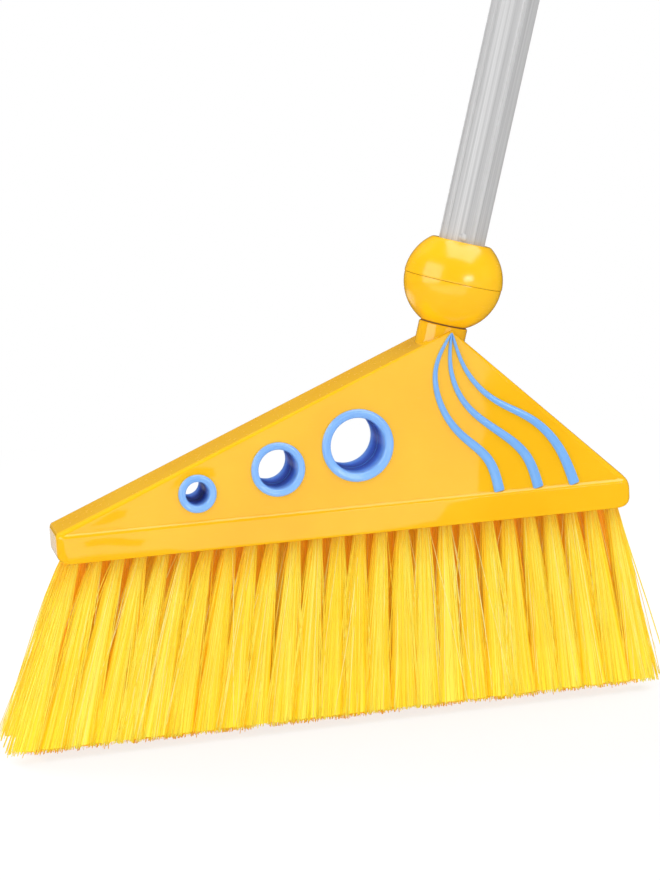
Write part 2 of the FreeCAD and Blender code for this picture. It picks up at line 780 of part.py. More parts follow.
def make_anchors():
    """A flat strip across the end of each tuft hole."""
    top = S.bristle_drop.value + hole_top.value
    half = across_circle(S.tuft_hole, S.anchor_thickness / 2).value - S.snug.value / 4
    size = (2 * half, S.anchor_thickness.value, S.anchor_height.value)
    anchors = []
    for row in (-1, 0, 1):
        front = row_pitch.value * row - S.anchor_thickness.value / 2
        for place in row_places(row):
            corner = Vector(place.value - half, front, top - S.anchor_height.value)
            anchors.append(Part.makeBox(*size, corner))
    new_feature("tuft_anchors", Part.makeCompound(anchors))


# Ball coupling


def make_ball_halves():
    sleeve_bore = S.tube_radius + S.snug / 2
    sleeve = sleeve_bore + S.sleeve_wall
    inner = S.ball_upper - S.ball_wall
    corners = [
        (S.ball_upper, 0),
        (across_circle(S.ball_upper, S.ball_top), S.ball_top),
        (sleeve_bore, S.ball_top),
        (sleeve_bore, flange_top),
        (sleeve, flange_top),
        (sleeve, across_circle(inner, sleeve)),
        (inner, 0),
    ]
    arcs = {0: (0, 0, S.ball_upper, 1), 5: (0, 0, inner, -1)}
    turned_body("ball_upper_half", corners, arcs)

    stud_bore = shoulder_radius + S.snug / 2
    sleeve = stud_bore + S.sleeve_wall
    inner = S.ball_lower - S.ball_wall
    corners = [
        (S.ball_lower, 0),
        (inner, 0),
        (sleeve, -across_circle(inner, sleeve)),
        (sleeve, -flange_top),
        (stud_bore, -flange_top),
        (stud_bore, -S.ball_bottom),
        (across_circle(S.ball_lower, S.ball_bottom), -S.ball_bottom),
    ]
    arcs = {1: (0, 0, inner, -1), 6: (0, 0, S.ball_lower, 1)}
    turned_body("ball_lower_half", corners, arcs)


def make_coupling():
    """The moulded core: a plug in the tube, a flange held by the ball, and a threaded stud."""
    flange_radius = S.ball_lower - S.ball_wall - S.flange_room
    core_end = stud_end + S.stud_core_depth
    corners = [
        (S.stud_core, stud_end),
        (S.thread_root, stud_end),
        (S.thread_root, -S.ball_bottom),
        (shoulder_radius, -S.ball_bottom),
        (shoulder_radius, -flange_top),
        (flange_radius, -flange_top),
        (flange_radius, flange_top),
        (insert_radius, flange_top),
        (insert_radius, flange_top + S.insert_length),
        (0, flange_top + S.insert_length),
        (0, core_end),
        (S.stud_core, core_end),
    ]
    body = turned_body("threaded_coupling", corners)
    ridge = new_sketch(body, "XZ_Plane")
    start = stud_end + S.thread_tip
    bury = S.snug
    rise = (S.thread_foot - S.thread_crest) / 2
    profile = [
        (S.thread_root - bury, start),
        (S.thread_radius, start + rise),
        (S.thread_radius, start + rise + S.thread_crest),
        (S.thread_root - bury, start + S.thread_foot),
    ]
    draw_loop(ridge, profile)
    thread = body.newObject("PartDesign::AdditiveHelix", "Thread")
    thread.Profile = ridge
    thread.ReferenceAxis = (ridge, ["V_Axis"])
    thread.Mode = "pitch-turns-angle"
    bind(thread, "Pitch", S.thread_pitch)
    bind(thread, "Turns", S.thread_turns)
    drill_rivet_hole(body)
    return body


def drill_rivet_hole(body):
    """A hole from the handle's axis outwards, in the rivet's direction."""
    sketch = new_sketch(body, "XZ_Plane")
    turn = Rotation(Vector(0, -1, 0), S.rivet_turn.value)
    sketch.AttachmentOffset = Placement(Vector(0, 0, 0), turn)
    bind(sketch, ".AttachmentOffset.Rotation.Angle", S.rivet_turn)
    draw_circle(sketch, 0, rivet_place, S.rivet_shank + S.snug / 4)
    extrude(body, "Pocket", sketch, S.tube_radius * 2, reverse=True)


def make_washer():
    bore = S.thread_radius + S.snug / 2
    rim = bore + S.washer_width
    top = -S.ball_bottom
    corners = [(bore, neck_top), (rim, neck_top), (rim, top), (bore, top)]
    turned_body("neck_washer", corners)


# Handle tube, rivet and hanging cap


def make_tube():
    body = new_body("handle_tube", leaning=True)
    ring = new_sketch(body, "XY_Plane", flange_top)
    draw_circle(ring, 0, 0, S.tube_radius)
    draw_circle(ring, 0, 0, S.tube_radius - S.tube_wall)
    extrude(body, "Pad", ring, S.tube_length)
    groove = new_sketch(body, "XY_Plane", flange_top)
    turn = Rotation(Vector(0, 0, 1), S.groove_turn.value)
    groove.AttachmentOffset = Placement(Vector(0, 0, 0), turn)
    bind(groove, ".AttachmentOffset.Rotation.Angle", S.groove_turn)
    draw_circle(groove, S.tube_radius + S.groove_radius - S.groove_depth, 0, S.groove_radius)
    cut = extrude(body, "Pocket", groove, S.tube_length, reverse=True)
    pattern = body.newObject("PartDesign::PolarPattern", "Grooves")
    pattern.Originals = [cut]
    pattern.Axis = (origin_part(body, "Z_Axis"), [""])
    pattern.Angle = 360.0
    bind(pattern, "Occurrences", S.groove_count)
    body.Tip = pattern
    drill_rivet_hole(body)
    return body


def make_rivet():
    """A rivet with a low domed head, lying across the handle's axis."""
    head_start = S.tube_radius.value
    dome = (S.rivet_head.value ** 2 + S.rivet_proud.value ** 2) / (2 * S.rivet_proud.value)
    length = S.rivet_depth.value + S.rivet_proud.value / 2
    start = Vector(head_start - S.rivet_depth.value, 0, 0)
    shank = Part.makeCylinder(S.rivet_shank.value, length, start, Vector(1, 0, 0))
    ball = Part.makeSphere(dome, Vector(head_start + S.rivet_proud.value - dome, 0, 0))
    slab = Part.makeBox(
        S.rivet_proud.value,
        2 * S.rivet_head.value,
        2 * S.rivet_head.value,
        Vector(head_start, -S.rivet_head.value, -S.rivet_head.value),
    )
    rivet = shank.fuse(ball.common(slab)).removeSplitter()
    spin = Rotation(Vector(0, 0, 1), FRONT - S.rivet_turn.value)
    lean = Rotation(Vector(0, 1, 0), S.lean.value)
    centre = Vector(ball_offset.value, 0, S.bristle_drop.value + ball_rise.value)
    along = lean.multVec(Vector(0, 0, rivet_place.value))
    new_feature("tube_rivet", rivet, Placement(centre + along, lean.multiply(spin)))


def make_cap():
    bore = S.tube_radius + S.snug / 2
    outer = bore + S.cap_wall
    roof = tube_end + S.cap_roof
    low = tube_end - S.cap_grip
    corners = [(bore, low), (outer, low), (outer, roof), (0, roof), (0, tube_end), (bore, tube_end)]
    body = turned_body("hanging_cap", corners)
    tab = new_sketch(body, "XZ_Plane")
    hole_up = tube_end + S.tab_rise
    foot_up = tube_end + S.cap_roof / 2
    corners = [(-outer, foot_up), (outer, foot_up), (outer, hole_up), (-outer, hole_up)]
    draw_loop(tab, corners, {2: (0, hole_up, outer, 1)})
    extrude(body, "Pad", tab, S.tab_thickness, symmetric=True)
    hole = new_sketch(body, "XZ_Plane")
    draw_circle(hole, 0, hole_up, S.hang_hole)
    extrude(body, "Pocket", hole, symmetric=True)
    return body


make_hood()
for name, (offset, rise, bore, rim) in EYELETS.items():
    make_eyelet(f"front_{name}_eyelet", offset, rise, bore, rim, -1)
    make_eyelet(f"rear_{name}_eyelet", offset, rise, bore, rim, 1)
make_waves()
make_tuft_block()
make_screws()
make_tufts("front_tufts", -1)
make_tufts("middle_tufts", 0)
make_tufts("rear_tufts", 1)
make_anchors()
make_washer()
make_coupling()
make_ball_halves()
make_tube()
make_rivet()
make_cap()
doc.recompute()


def sub_parts():
    return [item for item in doc.Objects if item.TypeId in ("PartDesign::Body", "Part::Feature")]


def find_faults():
    """Steps that failed, cuts that took nothing away and pieces without a valid shape."""
    faults = []
    for item in doc.Objects:
        if "Invalid" in item.State or "Error" in item.State:
            faults.append(f"{item.Label}: {item.State}")
    for item in doc.Objects:
        cuts = item.TypeId in ("PartDesign::Pocket", "PartDesign::Groove", "PartDesign::SubtractiveLoft")
        if cuts and item.Shape.Volume >= item.BaseFeature.Shape.Volume:
            faults.append(f"{item.getParentGeoFeatureGroup().Label}, {item.Label}: cuts nothing")
    for item in sub_parts():
        if item.Shape.isNull() or not item.Shape.isValid():
            faults.append(f"{item.Label}: no valid shape")
    return faults


faults = find_faults()
if faults:
    raise RuntimeError("; ".join(faults))

os.makedirs("parts", exist_ok=True)
for item in sub_parts():
    item.Shape.exportStep(f"parts/{item.Label}.step")
    print(item.Label, len(item.Shape.Solids), round(item.Shape.Volume, 1))
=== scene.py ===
import math

import bmesh
import bpy
import numpy as np
from mathutils import Matrix, Vector


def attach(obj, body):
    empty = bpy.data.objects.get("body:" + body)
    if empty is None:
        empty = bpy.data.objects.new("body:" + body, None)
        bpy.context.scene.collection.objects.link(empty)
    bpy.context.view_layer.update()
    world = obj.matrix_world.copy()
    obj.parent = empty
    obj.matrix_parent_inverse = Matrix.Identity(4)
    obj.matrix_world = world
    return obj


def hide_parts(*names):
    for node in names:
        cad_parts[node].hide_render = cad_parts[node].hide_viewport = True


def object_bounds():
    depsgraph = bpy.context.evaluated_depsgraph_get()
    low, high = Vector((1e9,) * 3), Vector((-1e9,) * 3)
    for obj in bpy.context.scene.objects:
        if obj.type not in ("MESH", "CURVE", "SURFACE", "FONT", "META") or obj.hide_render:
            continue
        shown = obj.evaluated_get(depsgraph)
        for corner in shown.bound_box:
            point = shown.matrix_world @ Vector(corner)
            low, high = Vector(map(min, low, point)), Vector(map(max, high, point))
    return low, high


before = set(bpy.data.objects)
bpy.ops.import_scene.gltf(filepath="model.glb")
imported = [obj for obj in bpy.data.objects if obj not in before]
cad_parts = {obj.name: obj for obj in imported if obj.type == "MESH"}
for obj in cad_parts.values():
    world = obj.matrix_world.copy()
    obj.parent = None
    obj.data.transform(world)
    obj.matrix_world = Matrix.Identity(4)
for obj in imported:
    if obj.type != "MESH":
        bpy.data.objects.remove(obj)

cad_box = [list(corner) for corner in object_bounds()]

# Sizes in millimetres: the part's own, with a few corrected by the photograph
MM = 0.001
BRISTLE_DROP = 91.0
SKIRT_HALF = 138.5
SKIRT_DEPTH = 16.0
SKIRT_RISE = 13.5
SKIRT_CORNER = 4.4
RIM_ROUND = 4.4
RIM_EDGE = 0.7
SHOULDER_ROUND = 9.0
LEDGE = 0.9
FACE_SET_BACK = 1.4
WALL = 2.2
APEX_RISE = 92.3
PEAK_RISE = 91.1
POINT_RISE = 92.15
APEX_OFFSET = 53.7
APEX_DEPTH = 13.5
HOOD_EDGE = 4.6
REAR_EDGE = 1.2
SLOPE_LIFT = 0.6
LEDGE_LIFT = 0.6
LEDGE_OUT = 1.15
LEDGE_TALL = 1.7
PEAK_EDGE = 1.6
# each eyelet's offset, rise, bore radius and rim radius
EYELETS = {
    "small": (-71.9, 26.9, 5.4, 9.0),
    "medium": (-33.3, 34.6, 9.2, 12.8),
    "large": (5.3, 42.3, 12.9, 17.2),
}
EYELET_WALL = 1.6
EYELET_PROUD = 1.5
EYELET_FOOT = 0.4
EYELET_MEETING = 0.9
RIB_PITCH = 1.6
RIB_DEPTH = 0.12
TUNNEL_PLAY = 0.35
LEAN = 15.8
NECK_TOP = -21.1
NECK_RADIUS = 11.65
NECK_EDGE = 0.6
SOCKET_RADIUS = 9.5
SOCKET_END = -50.6
WASHER_BORE = 9.3
WASHER_RIM = 10.9
BALL_REACH = 22.65
BALL_UPPER = 23.5
BALL_LOWER = 23.3
BALL_WALL = 2.2
BALL_LIP = 0.35
BALL_LOWER_BORE = 9.7
BALL_SLEEVE = 2.0
BALL_TOP = 18.9
BALL_BOTTOM = 20.6
TUBE_RADIUS = 11.0
TUBE_START = 1.5
TUBE_LENGTH = 762.0
TUBE_WALL = 1.2
SNUG = 0.2
CAP_WALL = 1.8
CAP_SKIRT = 32.0
CAP_ROOF = 4.0
CAP_HOLE = 5.0
CAP_HOLE_RISE = 22.0
CAP_HALF_DEPTH = 4.0
TUFT_PITCH = 10.4
ROW_PITCH = 8.6
OUTER_TUFTS = 26

HOOD_HALF = SKIRT_HALF - LEDGE
LEFT_RUN = (APEX_OFFSET + HOOD_HALF) / (APEX_RISE - SKIRT_RISE - SLOPE_LIFT)
RIGHT_RUN = (HOOD_HALF - APEX_OFFSET) / (APEX_RISE - SKIRT_RISE)
FACE_SLOPE = (SKIRT_DEPTH - FACE_SET_BACK - APEX_DEPTH) / (PEAK_RISE - SKIRT_RISE)
TUBE_END = TUBE_START + TUBE_LENGTH

lean = math.radians(LEAN)
ball_centre = Vector(
    (
        APEX_OFFSET - 1.0 + BALL_REACH * math.sin(lean),
        0.0,
        BRISTLE_DROP + APEX_RISE + BALL_REACH * math.cos(lean),
    )
)
HANDLE = Matrix.Translation(ball_centre * MM) @ Matrix.Rotation(lean, 4, "Y")
HEAD = Matrix.Translation((0, 0, BRISTLE_DROP * MM))
rng = np.random.default_rng(11)


# Camera: the photograph's own, worked out from its perspective
def make_camera():
    data = bpy.data.cameras.new("camera")
    data.lens = 103.5
    data.sensor_width = 36.0
    data.clip_start = 0.05
    data.clip_end = 60.0
    camera = bpy.data.objects.new("camera", data)
    right = Vector((0.97304371, -0.22408716, -0.05450587))
    down = Vector((-0.09246389, -0.16255814, -0.982357))
    forward = Vector((0.21127322, 0.96091612, -0.17889615))
    turn = Matrix((right, -down, -forward)).transposed().to_4x4()
    camera.matrix_world = Matrix.Translation((-0.2569, -1.1468, 0.3480)) @ turn
    bpy.context.scene.collection.objects.link(camera)
    bpy.context.scene.camera = camera


make_camera()


# Materials
class Look:
    """A node material built around one Principled shader."""

    def __init__(self, name, **values):
        self.material = bpy.data.materials.new(name)
        self.material.use_nodes = True
        self.tree = self.material.node_tree
        self.shader = self.tree.nodes["Principled BSDF"]
        for key, value in values.items():
            socket = key.replace("_", " ").title().replace("Ior", "IOR")
            self.shader.inputs[socket].default_value = value

    def add(self, kind, inputs=None, **settings):
        node = self.tree.nodes.new("ShaderNode" + kind)
        for key, value in settings.items():
            setattr(node, key, value)
        for key, value in (inputs or {}).items():
            if isinstance(value, bpy.types.NodeSocket):
                self.tree.links.new(value, node.inputs[key])
            else:
                node.inputs[key].default_value = value
        return node

    def set(self, key, socket):
        self.tree.links.new(socket, self.shader.inputs[key])

    def place(self, stretch=(1, 1, 1)):
        coords = self.add("TexCoord").outputs["Object"]
        return self.add("Mapping", {"Vector": coords, "Scale": stretch}).outputs["Vector"]

    def noise(self, vector, scale, detail=2.0, roughness=0.5):
        inputs = {"Vector": vector, "Scale": scale, "Detail": detail, "Roughness": roughness}
        return self.add("TexNoise", inputs).outputs["Fac"]

    def ramp(self, fac, stops):
        node = self.add("ValToRGB", {"Fac": fac})
        ramp = node.color_ramp
        while len(ramp.elements) < len(stops):
            ramp.elements.new(0.5)
        for element, (place, colour) in zip(ramp.elements, stops):
            element.position = place
            if not isinstance(colour, tuple):
                colour = (colour,) * 3
            element.color = (*colour, 1.0)
        return node.outputs["Color"]

    def mix(self, fac, a, b, blend="MIX"):
        node = self.add("Mix", {"Factor": fac}, data_type="RGBA", blend_type=blend)
        for socket, value in ((node.inputs[6], a), (node.inputs[7], b)):
            if isinstance(value, bpy.types.NodeSocket):
                self.tree.links.new(value, socket)
            else:
                socket.default_value = (*value, 1.0)
        return node.outputs[2]

    def span(self, value, low, high):
        inputs = {"Value": value, "To Min": low, "To Max": high}
        return self.add("MapRange", inputs).outputs["Result"]

    def bump(self, height, strength, distance, normal=None):
        inputs = {"Height": height, "Strength": strength, "Distance": distance}
        if normal is not None:
            inputs["Normal"] = normal
        return self.add("Bump", inputs).outputs["Normal"]


def moulded(name, base, deep, pale, polish=0.03):
    """Glossy moulded plastic: a little waviness, faint flow marks, fine scuffs."""
    look = Look(name, specular_ior_level=0.08, coat_weight=1.0, coat_roughness=polish, coat_ior=1.6)
    place = look.place()
    flow = look.noise(place, 26.0, 3.0)
    colour = look.ramp(flow, [(0.3, deep), (0.52, base), (0.75, pale)])
    look.set("Base Color", colour)
    scuff = look.noise(look.place((1, 1, 6)), 240.0, 4.0, 0.6)
    look.set("Roughness", look.span(scuff, 0.16, 0.34))
    wave = look.bump(look.noise(place, 22.0, 1.0), 0.10, 0.004)
    look.set("Normal", look.bump(look.noise(place, 500.0, 2.0), 0.02, 0.0002, wave))
    look.set("Coat Normal", wave)
    return look


# base, deep and pale tone of each plastic
YELLOWS = (0.96, 0.51, 0.006), (0.94, 0.48, 0.004), (0.97, 0.54, 0.010)
# painted light: the ball's yellow is the hood's plastic, painted a little brighter to lift its
# shading
BALL_LIT_YELLOWS = (1.0, 0.54, 0.005), (0.98, 0.51, 0.003), (1.0, 0.57, 0.008)
BLUES = (0.20, 0.455, 0.90), (0.18, 0.42, 0.86), (0.23, 0.49, 0.93)
RING_BLUES = (0.245, 0.495, 0.965), (0.225, 0.465, 0.94), (0.27, 0.525, 0.98)
yellow = moulded("yellow_plastic", *YELLOWS).material
yellow_ball_lit = moulded("yellow_ball_lit", *BALL_LIT_YELLOWS, 0.19).material
blue = moulded("blue_plastic", *BLUES, 0.06).material
ring_blue = moulded("blue_ring", *RING_BLUES, 0.06).material


def make_bore():
    """The eyelets' bores: blue at the lip, darkening to navy further in with painted shade."""
    look = Look("blue_bore", specular_ior_level=0.4)
    depth = look.add("SeparateXYZ", {0: look.place()}).outputs["Z"]
    inputs = {"Value": depth, "From Min": -0.001, "From Max": -0.012}
    inward = look.add("MapRange", inputs).outputs["Result"]
    # painted shade: the deeper into the bore, the darker and more navy
    shades = [(0.0, RING_BLUES[0]), (0.3, (0.16, 0.40, 1.0))]
    shades += [(0.6, (0.07, 0.20, 0.75)), (1.0, (0.045, 0.12, 0.55))]
    shade = look.ramp(inward, shades)
    grain = look.noise(look.place((1, 1, 4)), 500.0, 3.0)
    look.set("Base Color", look.mix(look.span(grain, 0.0, 0.3), shade, (0.02, 0.05, 0.26)))
    look.set("Roughness", look.span(grain, 0.22, 0.42))
    return look.material


# the bores' material, with painted shade inside
bore_painted_shade = make_bore()


def make_bristle_look():
    """Filaments, each in its own tone, with painted shade: orange towards the roots."""
    look = Look("bristle_filament", roughness=0.30, specular_ior_level=0.5)
    run = look.add("Attribute", attribute_name="run").outputs["Fac"]
    tone = look.add("Attribute", attribute_name="tone").outputs["Fac"]
    tones = [(0.0, (1.0, 0.46, 0.02)), (0.2, (1.0, 0.56, 0.01))]
    tones += [(0.5, (1.0, 0.72, 0.02)), (0.93, (1.0, 0.90, 0.13))]
    hue = look.ramp(tone, tones)
    # painted light: the tips glow a little, standing in for the light that comes through them, and
    # so does the middle row
    tip = look.ramp(run, [(0.70, 0.0), (1.0, 0.16)])
    inner = look.ramp(tone, [(0.0, 0.12), (0.18, 0.12), (0.45, 0.0)])
    look.set("Emission Strength", look.add("Math", {0: tip, 1: inner}, operation="ADD").outputs[0])
    look.set("Emission Color", hue)
    # painted highlight: the palest tone turns almost white
    pale = look.ramp(tone, [(0.955, 0.0), (0.97, 1.0)])
    hue = look.mix(pale, hue, (1.0, 0.92, 0.36))
    # painted shade: the filaments darken to orange towards their roots
    shade = look.ramp(run, [(0.0, (1.0, 0.76, 0.2)), (0.25, (1.0, 1.0, 1.0))])
    look.set("Base Color", look.mix(1.0, hue, shade, "MULTIPLY"))
    return look.material


bristle = make_bristle_look()


def make_tube_look():
    """Drawn aluminium: fine streaks along the tube and faint smudges."""
    look = Look("tube_aluminium", metallic=0.3, specular_ior_level=0.4)
    streak = look.noise(look.place((1, 1, 0.004)), 700.0, 4.0, 0.65)
    broad = look.noise(look.place((1, 1, 0.01)), 160.0, 2.0)
    smudge = look.noise(look.place((1, 1, 0.4)), 30.0, 3.0)
    colour = look.ramp(streak, [(0.34, (0.46, 0.46, 0.465)), (0.66, (0.74, 0.74, 0.745))])
    colour = look.mix(look.span(broad, 0.0, 0.35), colour, (0.70, 0.70, 0.70))
    look.set("Base Color", colour)
    look.set("Roughness", look.span(smudge, 0.50, 0.66))
    look.set("Normal", look.bump(streak, 0.2, 0.0002))
    return look.material


aluminium = make_tube_look()


def grainy(name, base, deep, roughness, scale, strength, **values):
    """A plain moulded or rolled surface with a fine grain."""
    look = Look(name, **values)
    place = look.place()
    colour = look.ramp(look.noise(place, scale / 8, 3.0), [(0.35, deep), (0.65, base)])
    look.set("Base Color", colour)
    grain = look.noise(place, scale, 3.0, 0.6)
    look.set("Roughness", look.span(grain, *roughness))
    look.set("Normal", look.bump(grain, strength, 0.0003))
    return look.material


rubber = grainy("washer_rubber", (0.22, 0.10, 0.015), (0.16, 0.07, 0.01), (0.6, 0.85), 1400.0, 0.3)
steel = grainy(
    "screw_steel", (0.62, 0.62, 0.63), (0.5, 0.5, 0.52), (0.25, 0.45), 1800.0, 0.15, metallic=1.0
)
block = grainy("block_plastic", (0.95, 0.44, 0.012), (0.88, 0.38, 0.008), (0.35, 0.55), 900.0, 0.12)


# Meshes
def finish_mesh(name, mesh, matrix, material, sharp=30.0):
    """Turns a mesh in millimetres into a shaded piece in its place."""
    mesh.transform(Matrix.Scale(MM, 4))
    piece = bpy.data.objects.new(name, mesh)
    piece.matrix_world = matrix
    bpy.context.scene.collection.objects.link(piece)
    for one in material if isinstance(material, (list, tuple)) else [material]:
        mesh.materials.append(one)
    mesh.shade_smooth()
    mesh.set_sharp_from_angle(angle=math.radians(sharp))
    normals = piece.modifiers.new("normals", "WEIGHTED_NORMAL")
    normals.keep_sharp = True
    normals.weight = 90
    return piece


def tidy(mesh):
    """Merges doubled points and turns all faces outwards."""
    work = bmesh.new()
    work.from_mesh(mesh)
    bmesh.ops.remove_doubles(work, verts=work.verts, dist=1e-4)
    bmesh.ops.dissolve_degenerate(work, edges=work.edges, dist=1e-4)
    bmesh.ops.recalc_face_normals(work, faces=work.faces)
    work.to_mesh(mesh)
    work.free()
    return mesh


def ring_stack(name, rings, closed=False):
    """Skins rings with the same number of points. closed joins the last to the first."""
    count = len(rings[0])
    points = [tuple(point) for ring in rings for point in ring]
    faces = []
    steps = len(rings) if closed else len(rings) - 1
    for step in range(steps):
        low = step * count
        high = (step + 1) % len(rings) * count
        for number in range(count):
            after = (number + 1) % count
            faces.append((low + number, low + after, high + after, high + number))
    if not closed:
        faces.append(tuple(reversed(range(count))))
        faces.append(tuple(range((len(rings) - 1) * count, len(rings) * count)))
    mesh = bpy.data.meshes.new(name)
    mesh.from_pydata(points, [], faces)
    return tidy(mesh)


def filleted(corners):
    """A closed outline with its corners rounded. corners: (across, up, radius)."""
    outline = []
    count = len(corners)
    for number, (across, up, radius) in enumerate(corners):
        here = Vector((across, up))
        if radius <= 0:
            outline.append(here)
            continue
        before = Vector(corners[number - 1][:2])
        after = Vector(corners[(number + 1) % count][:2])
        back = (before - here).normalized()
        ahead = (after - here).normalized()
        half = back.angle(ahead) / 2
        reach = min(radius / math.tan(half), (before - here).length / 2, (after - here).length / 2)
        start = here + back * reach
        end = here + ahead * reach
        for step in range(5):
            share = step / 4
            curve = start * (1 - share) ** 2 + here * (2 * share * (1 - share)) + end * share**2
            outline.append(curve)
    return outline


def spin(name, outline, segments=96):
    """Turns a closed outline (radius, height) about the upright axis."""
    rings = []
    for number in range(segments):
        angle = 2 * math.pi * number / segments
        rings.append([(p.x * math.cos(angle), p.x * math.sin(angle), p.y) for p in outline])
    return ring_stack(name, rings, closed=True)


def spin_solid(name, outline, segments=96):
    """The same for an open outline, closed by a flat disc at each end."""
    rings = []
    for point in outline:
        turns = [2 * math.pi * number / segments for number in range(segments)]
        rings.append([(point.x * math.cos(a), point.x * math.sin(a), point.y) for a in turns])
    return ring_stack(name, rings)


def vectors(*points):
    return [Vector(point) for point in points]


def arc(radius, from_deg, to_deg, steps):
    """Points of a circle about the origin, from one angle to another."""
    turns = [math.radians(from_deg + (to_deg - from_deg) * n / steps) for n in range(steps + 1)]
    return [Vector((radius * math.cos(a), radius * math.sin(a))) for a in turns]


def cylinder(radius, low, high, segments=96):
    return spin_solid("cutter", [Vector((radius, low)), Vector((radius, high))], segments)


def combine(mesh, other, operation, matrix=None):
    """Joins two closed meshes, or cuts the other one out of the first."""
    if matrix is not None:
        other.transform(matrix)
    holder = bpy.data.objects.new("holder", mesh)
    tool = bpy.data.objects.new("tool", other)
    for item in (holder, tool):
        bpy.context.scene.collection.objects.link(item)
    modifier = holder.modifiers.new("cut", "BOOLEAN")
    modifier.operation = operation
    modifier.solver = "EXACT"
    modifier.object = tool
    depsgraph = bpy.context.evaluated_depsgraph_get()
    result = bpy.data.meshes.new_from_object(holder.evaluated_get(depsgraph))
    bpy.data.objects.remove(holder)
    bpy.data.objects.remove(tool)
    return tidy(result)


# Hood
def face_depth(rise):
    """How far the face stands from the middle at this height over the rim."""
    return SKIRT_DEPTH - FACE_SET_BACK - (rise - SKIRT_RISE) * FACE_SLOPE


def end_places(rise):
    """Left and right end of the hood at this height over the rim."""
    left, right = -SKIRT_HALF, SKIRT_HALF
    if rise < RIM_ROUND:
        inset = RIM_ROUND - math.sqrt(RIM_ROUND**2 - (RIM_ROUND - rise) ** 2)
        return left + inset, right - inset
    slant = math.hypot(RIGHT_RUN, 1.0)
    corner_rise = SKIRT_RISE - LEDGE / RIGHT_RUN
    tangent = SHOULDER_ROUND * (slant - 1) / RIGHT_RUN
    low, high = corner_rise - tangent, corner_rise + tangent / slant
    if rise > high:
        right = HOOD_HALF - (rise - SKIRT_RISE) * RIGHT_RUN
    elif rise > low:
        right = SKIRT_HALF - SHOULDER_ROUND + math.sqrt(SHOULDER_ROUND**2 - (rise - low) ** 2)
    left = max(left, (rise - SKIRT_RISE - SLOPE_LIFT) * LEFT_RUN - HOOD_HALF)
    return left, right


def level_ring(left, right, depth, radius, rise, steps=8, rear_left=None):
    """A rounded box as a level ring of points. rear_left is that corner's own radius."""
    ring = []
    corners = [(right, depth, 0), (left, depth, 90), (left, -depth, 180), (right, -depth, 270)]
    plain = radius
    for across, back, start in corners:
        radius = plain if rear_left is None or start != 90 else min(plain, rear_left)
        x = across - math.copysign(radius, across - (left + right) / 2)
        y = back - math.copysign(radius, back)
        for step in range(steps + 1):
            angle = math.radians(start + 90 * step / steps)
            ring.append((x + radius * math.cos(angle), y + radius * math.sin(angle), rise))
    return ring


def hood_ring(rise, inset=0.0):
    """The skirt's outline low down, and above it the hood's."""
    left, right = end_places(rise)
    if rise <= SKIRT_RISE - 1e-6:
        depth, radius = SKIRT_DEPTH, SKIRT_CORNER
    else:
        depth = face_depth(rise)
        share = (rise - SKIRT_RISE) / (PEAK_RISE - SKIRT_RISE)
        radius = HOOD_EDGE + (PEAK_EDGE - HOOD_EDGE) * share
    radius = max(min(radius, 0.48 * (right - left)) - inset, 0.2)
    rear = None if rise < SKIRT_RISE - 1e-6 else REAR_EDGE
    return level_ring(left + inset, right - inset, depth - inset, radius, rise, rear_left=rear)


def ledge_ring(rise, inset):
    """The skirt's top edge on its way in to the hood's face."""
    left, right = end_places(rise)
    share = inset / FACE_SET_BACK
    left = max(left, share * LEDGE - SKIRT_HALF)
    radius = SKIRT_CORNER + (HOOD_EDGE - SKIRT_CORNER) * share
    rear = SKIRT_CORNER + (REAR_EDGE - SKIRT_CORNER) * share
    return level_ring(left, right, SKIRT_DEPTH - inset, radius, rise, rear_left=rear)


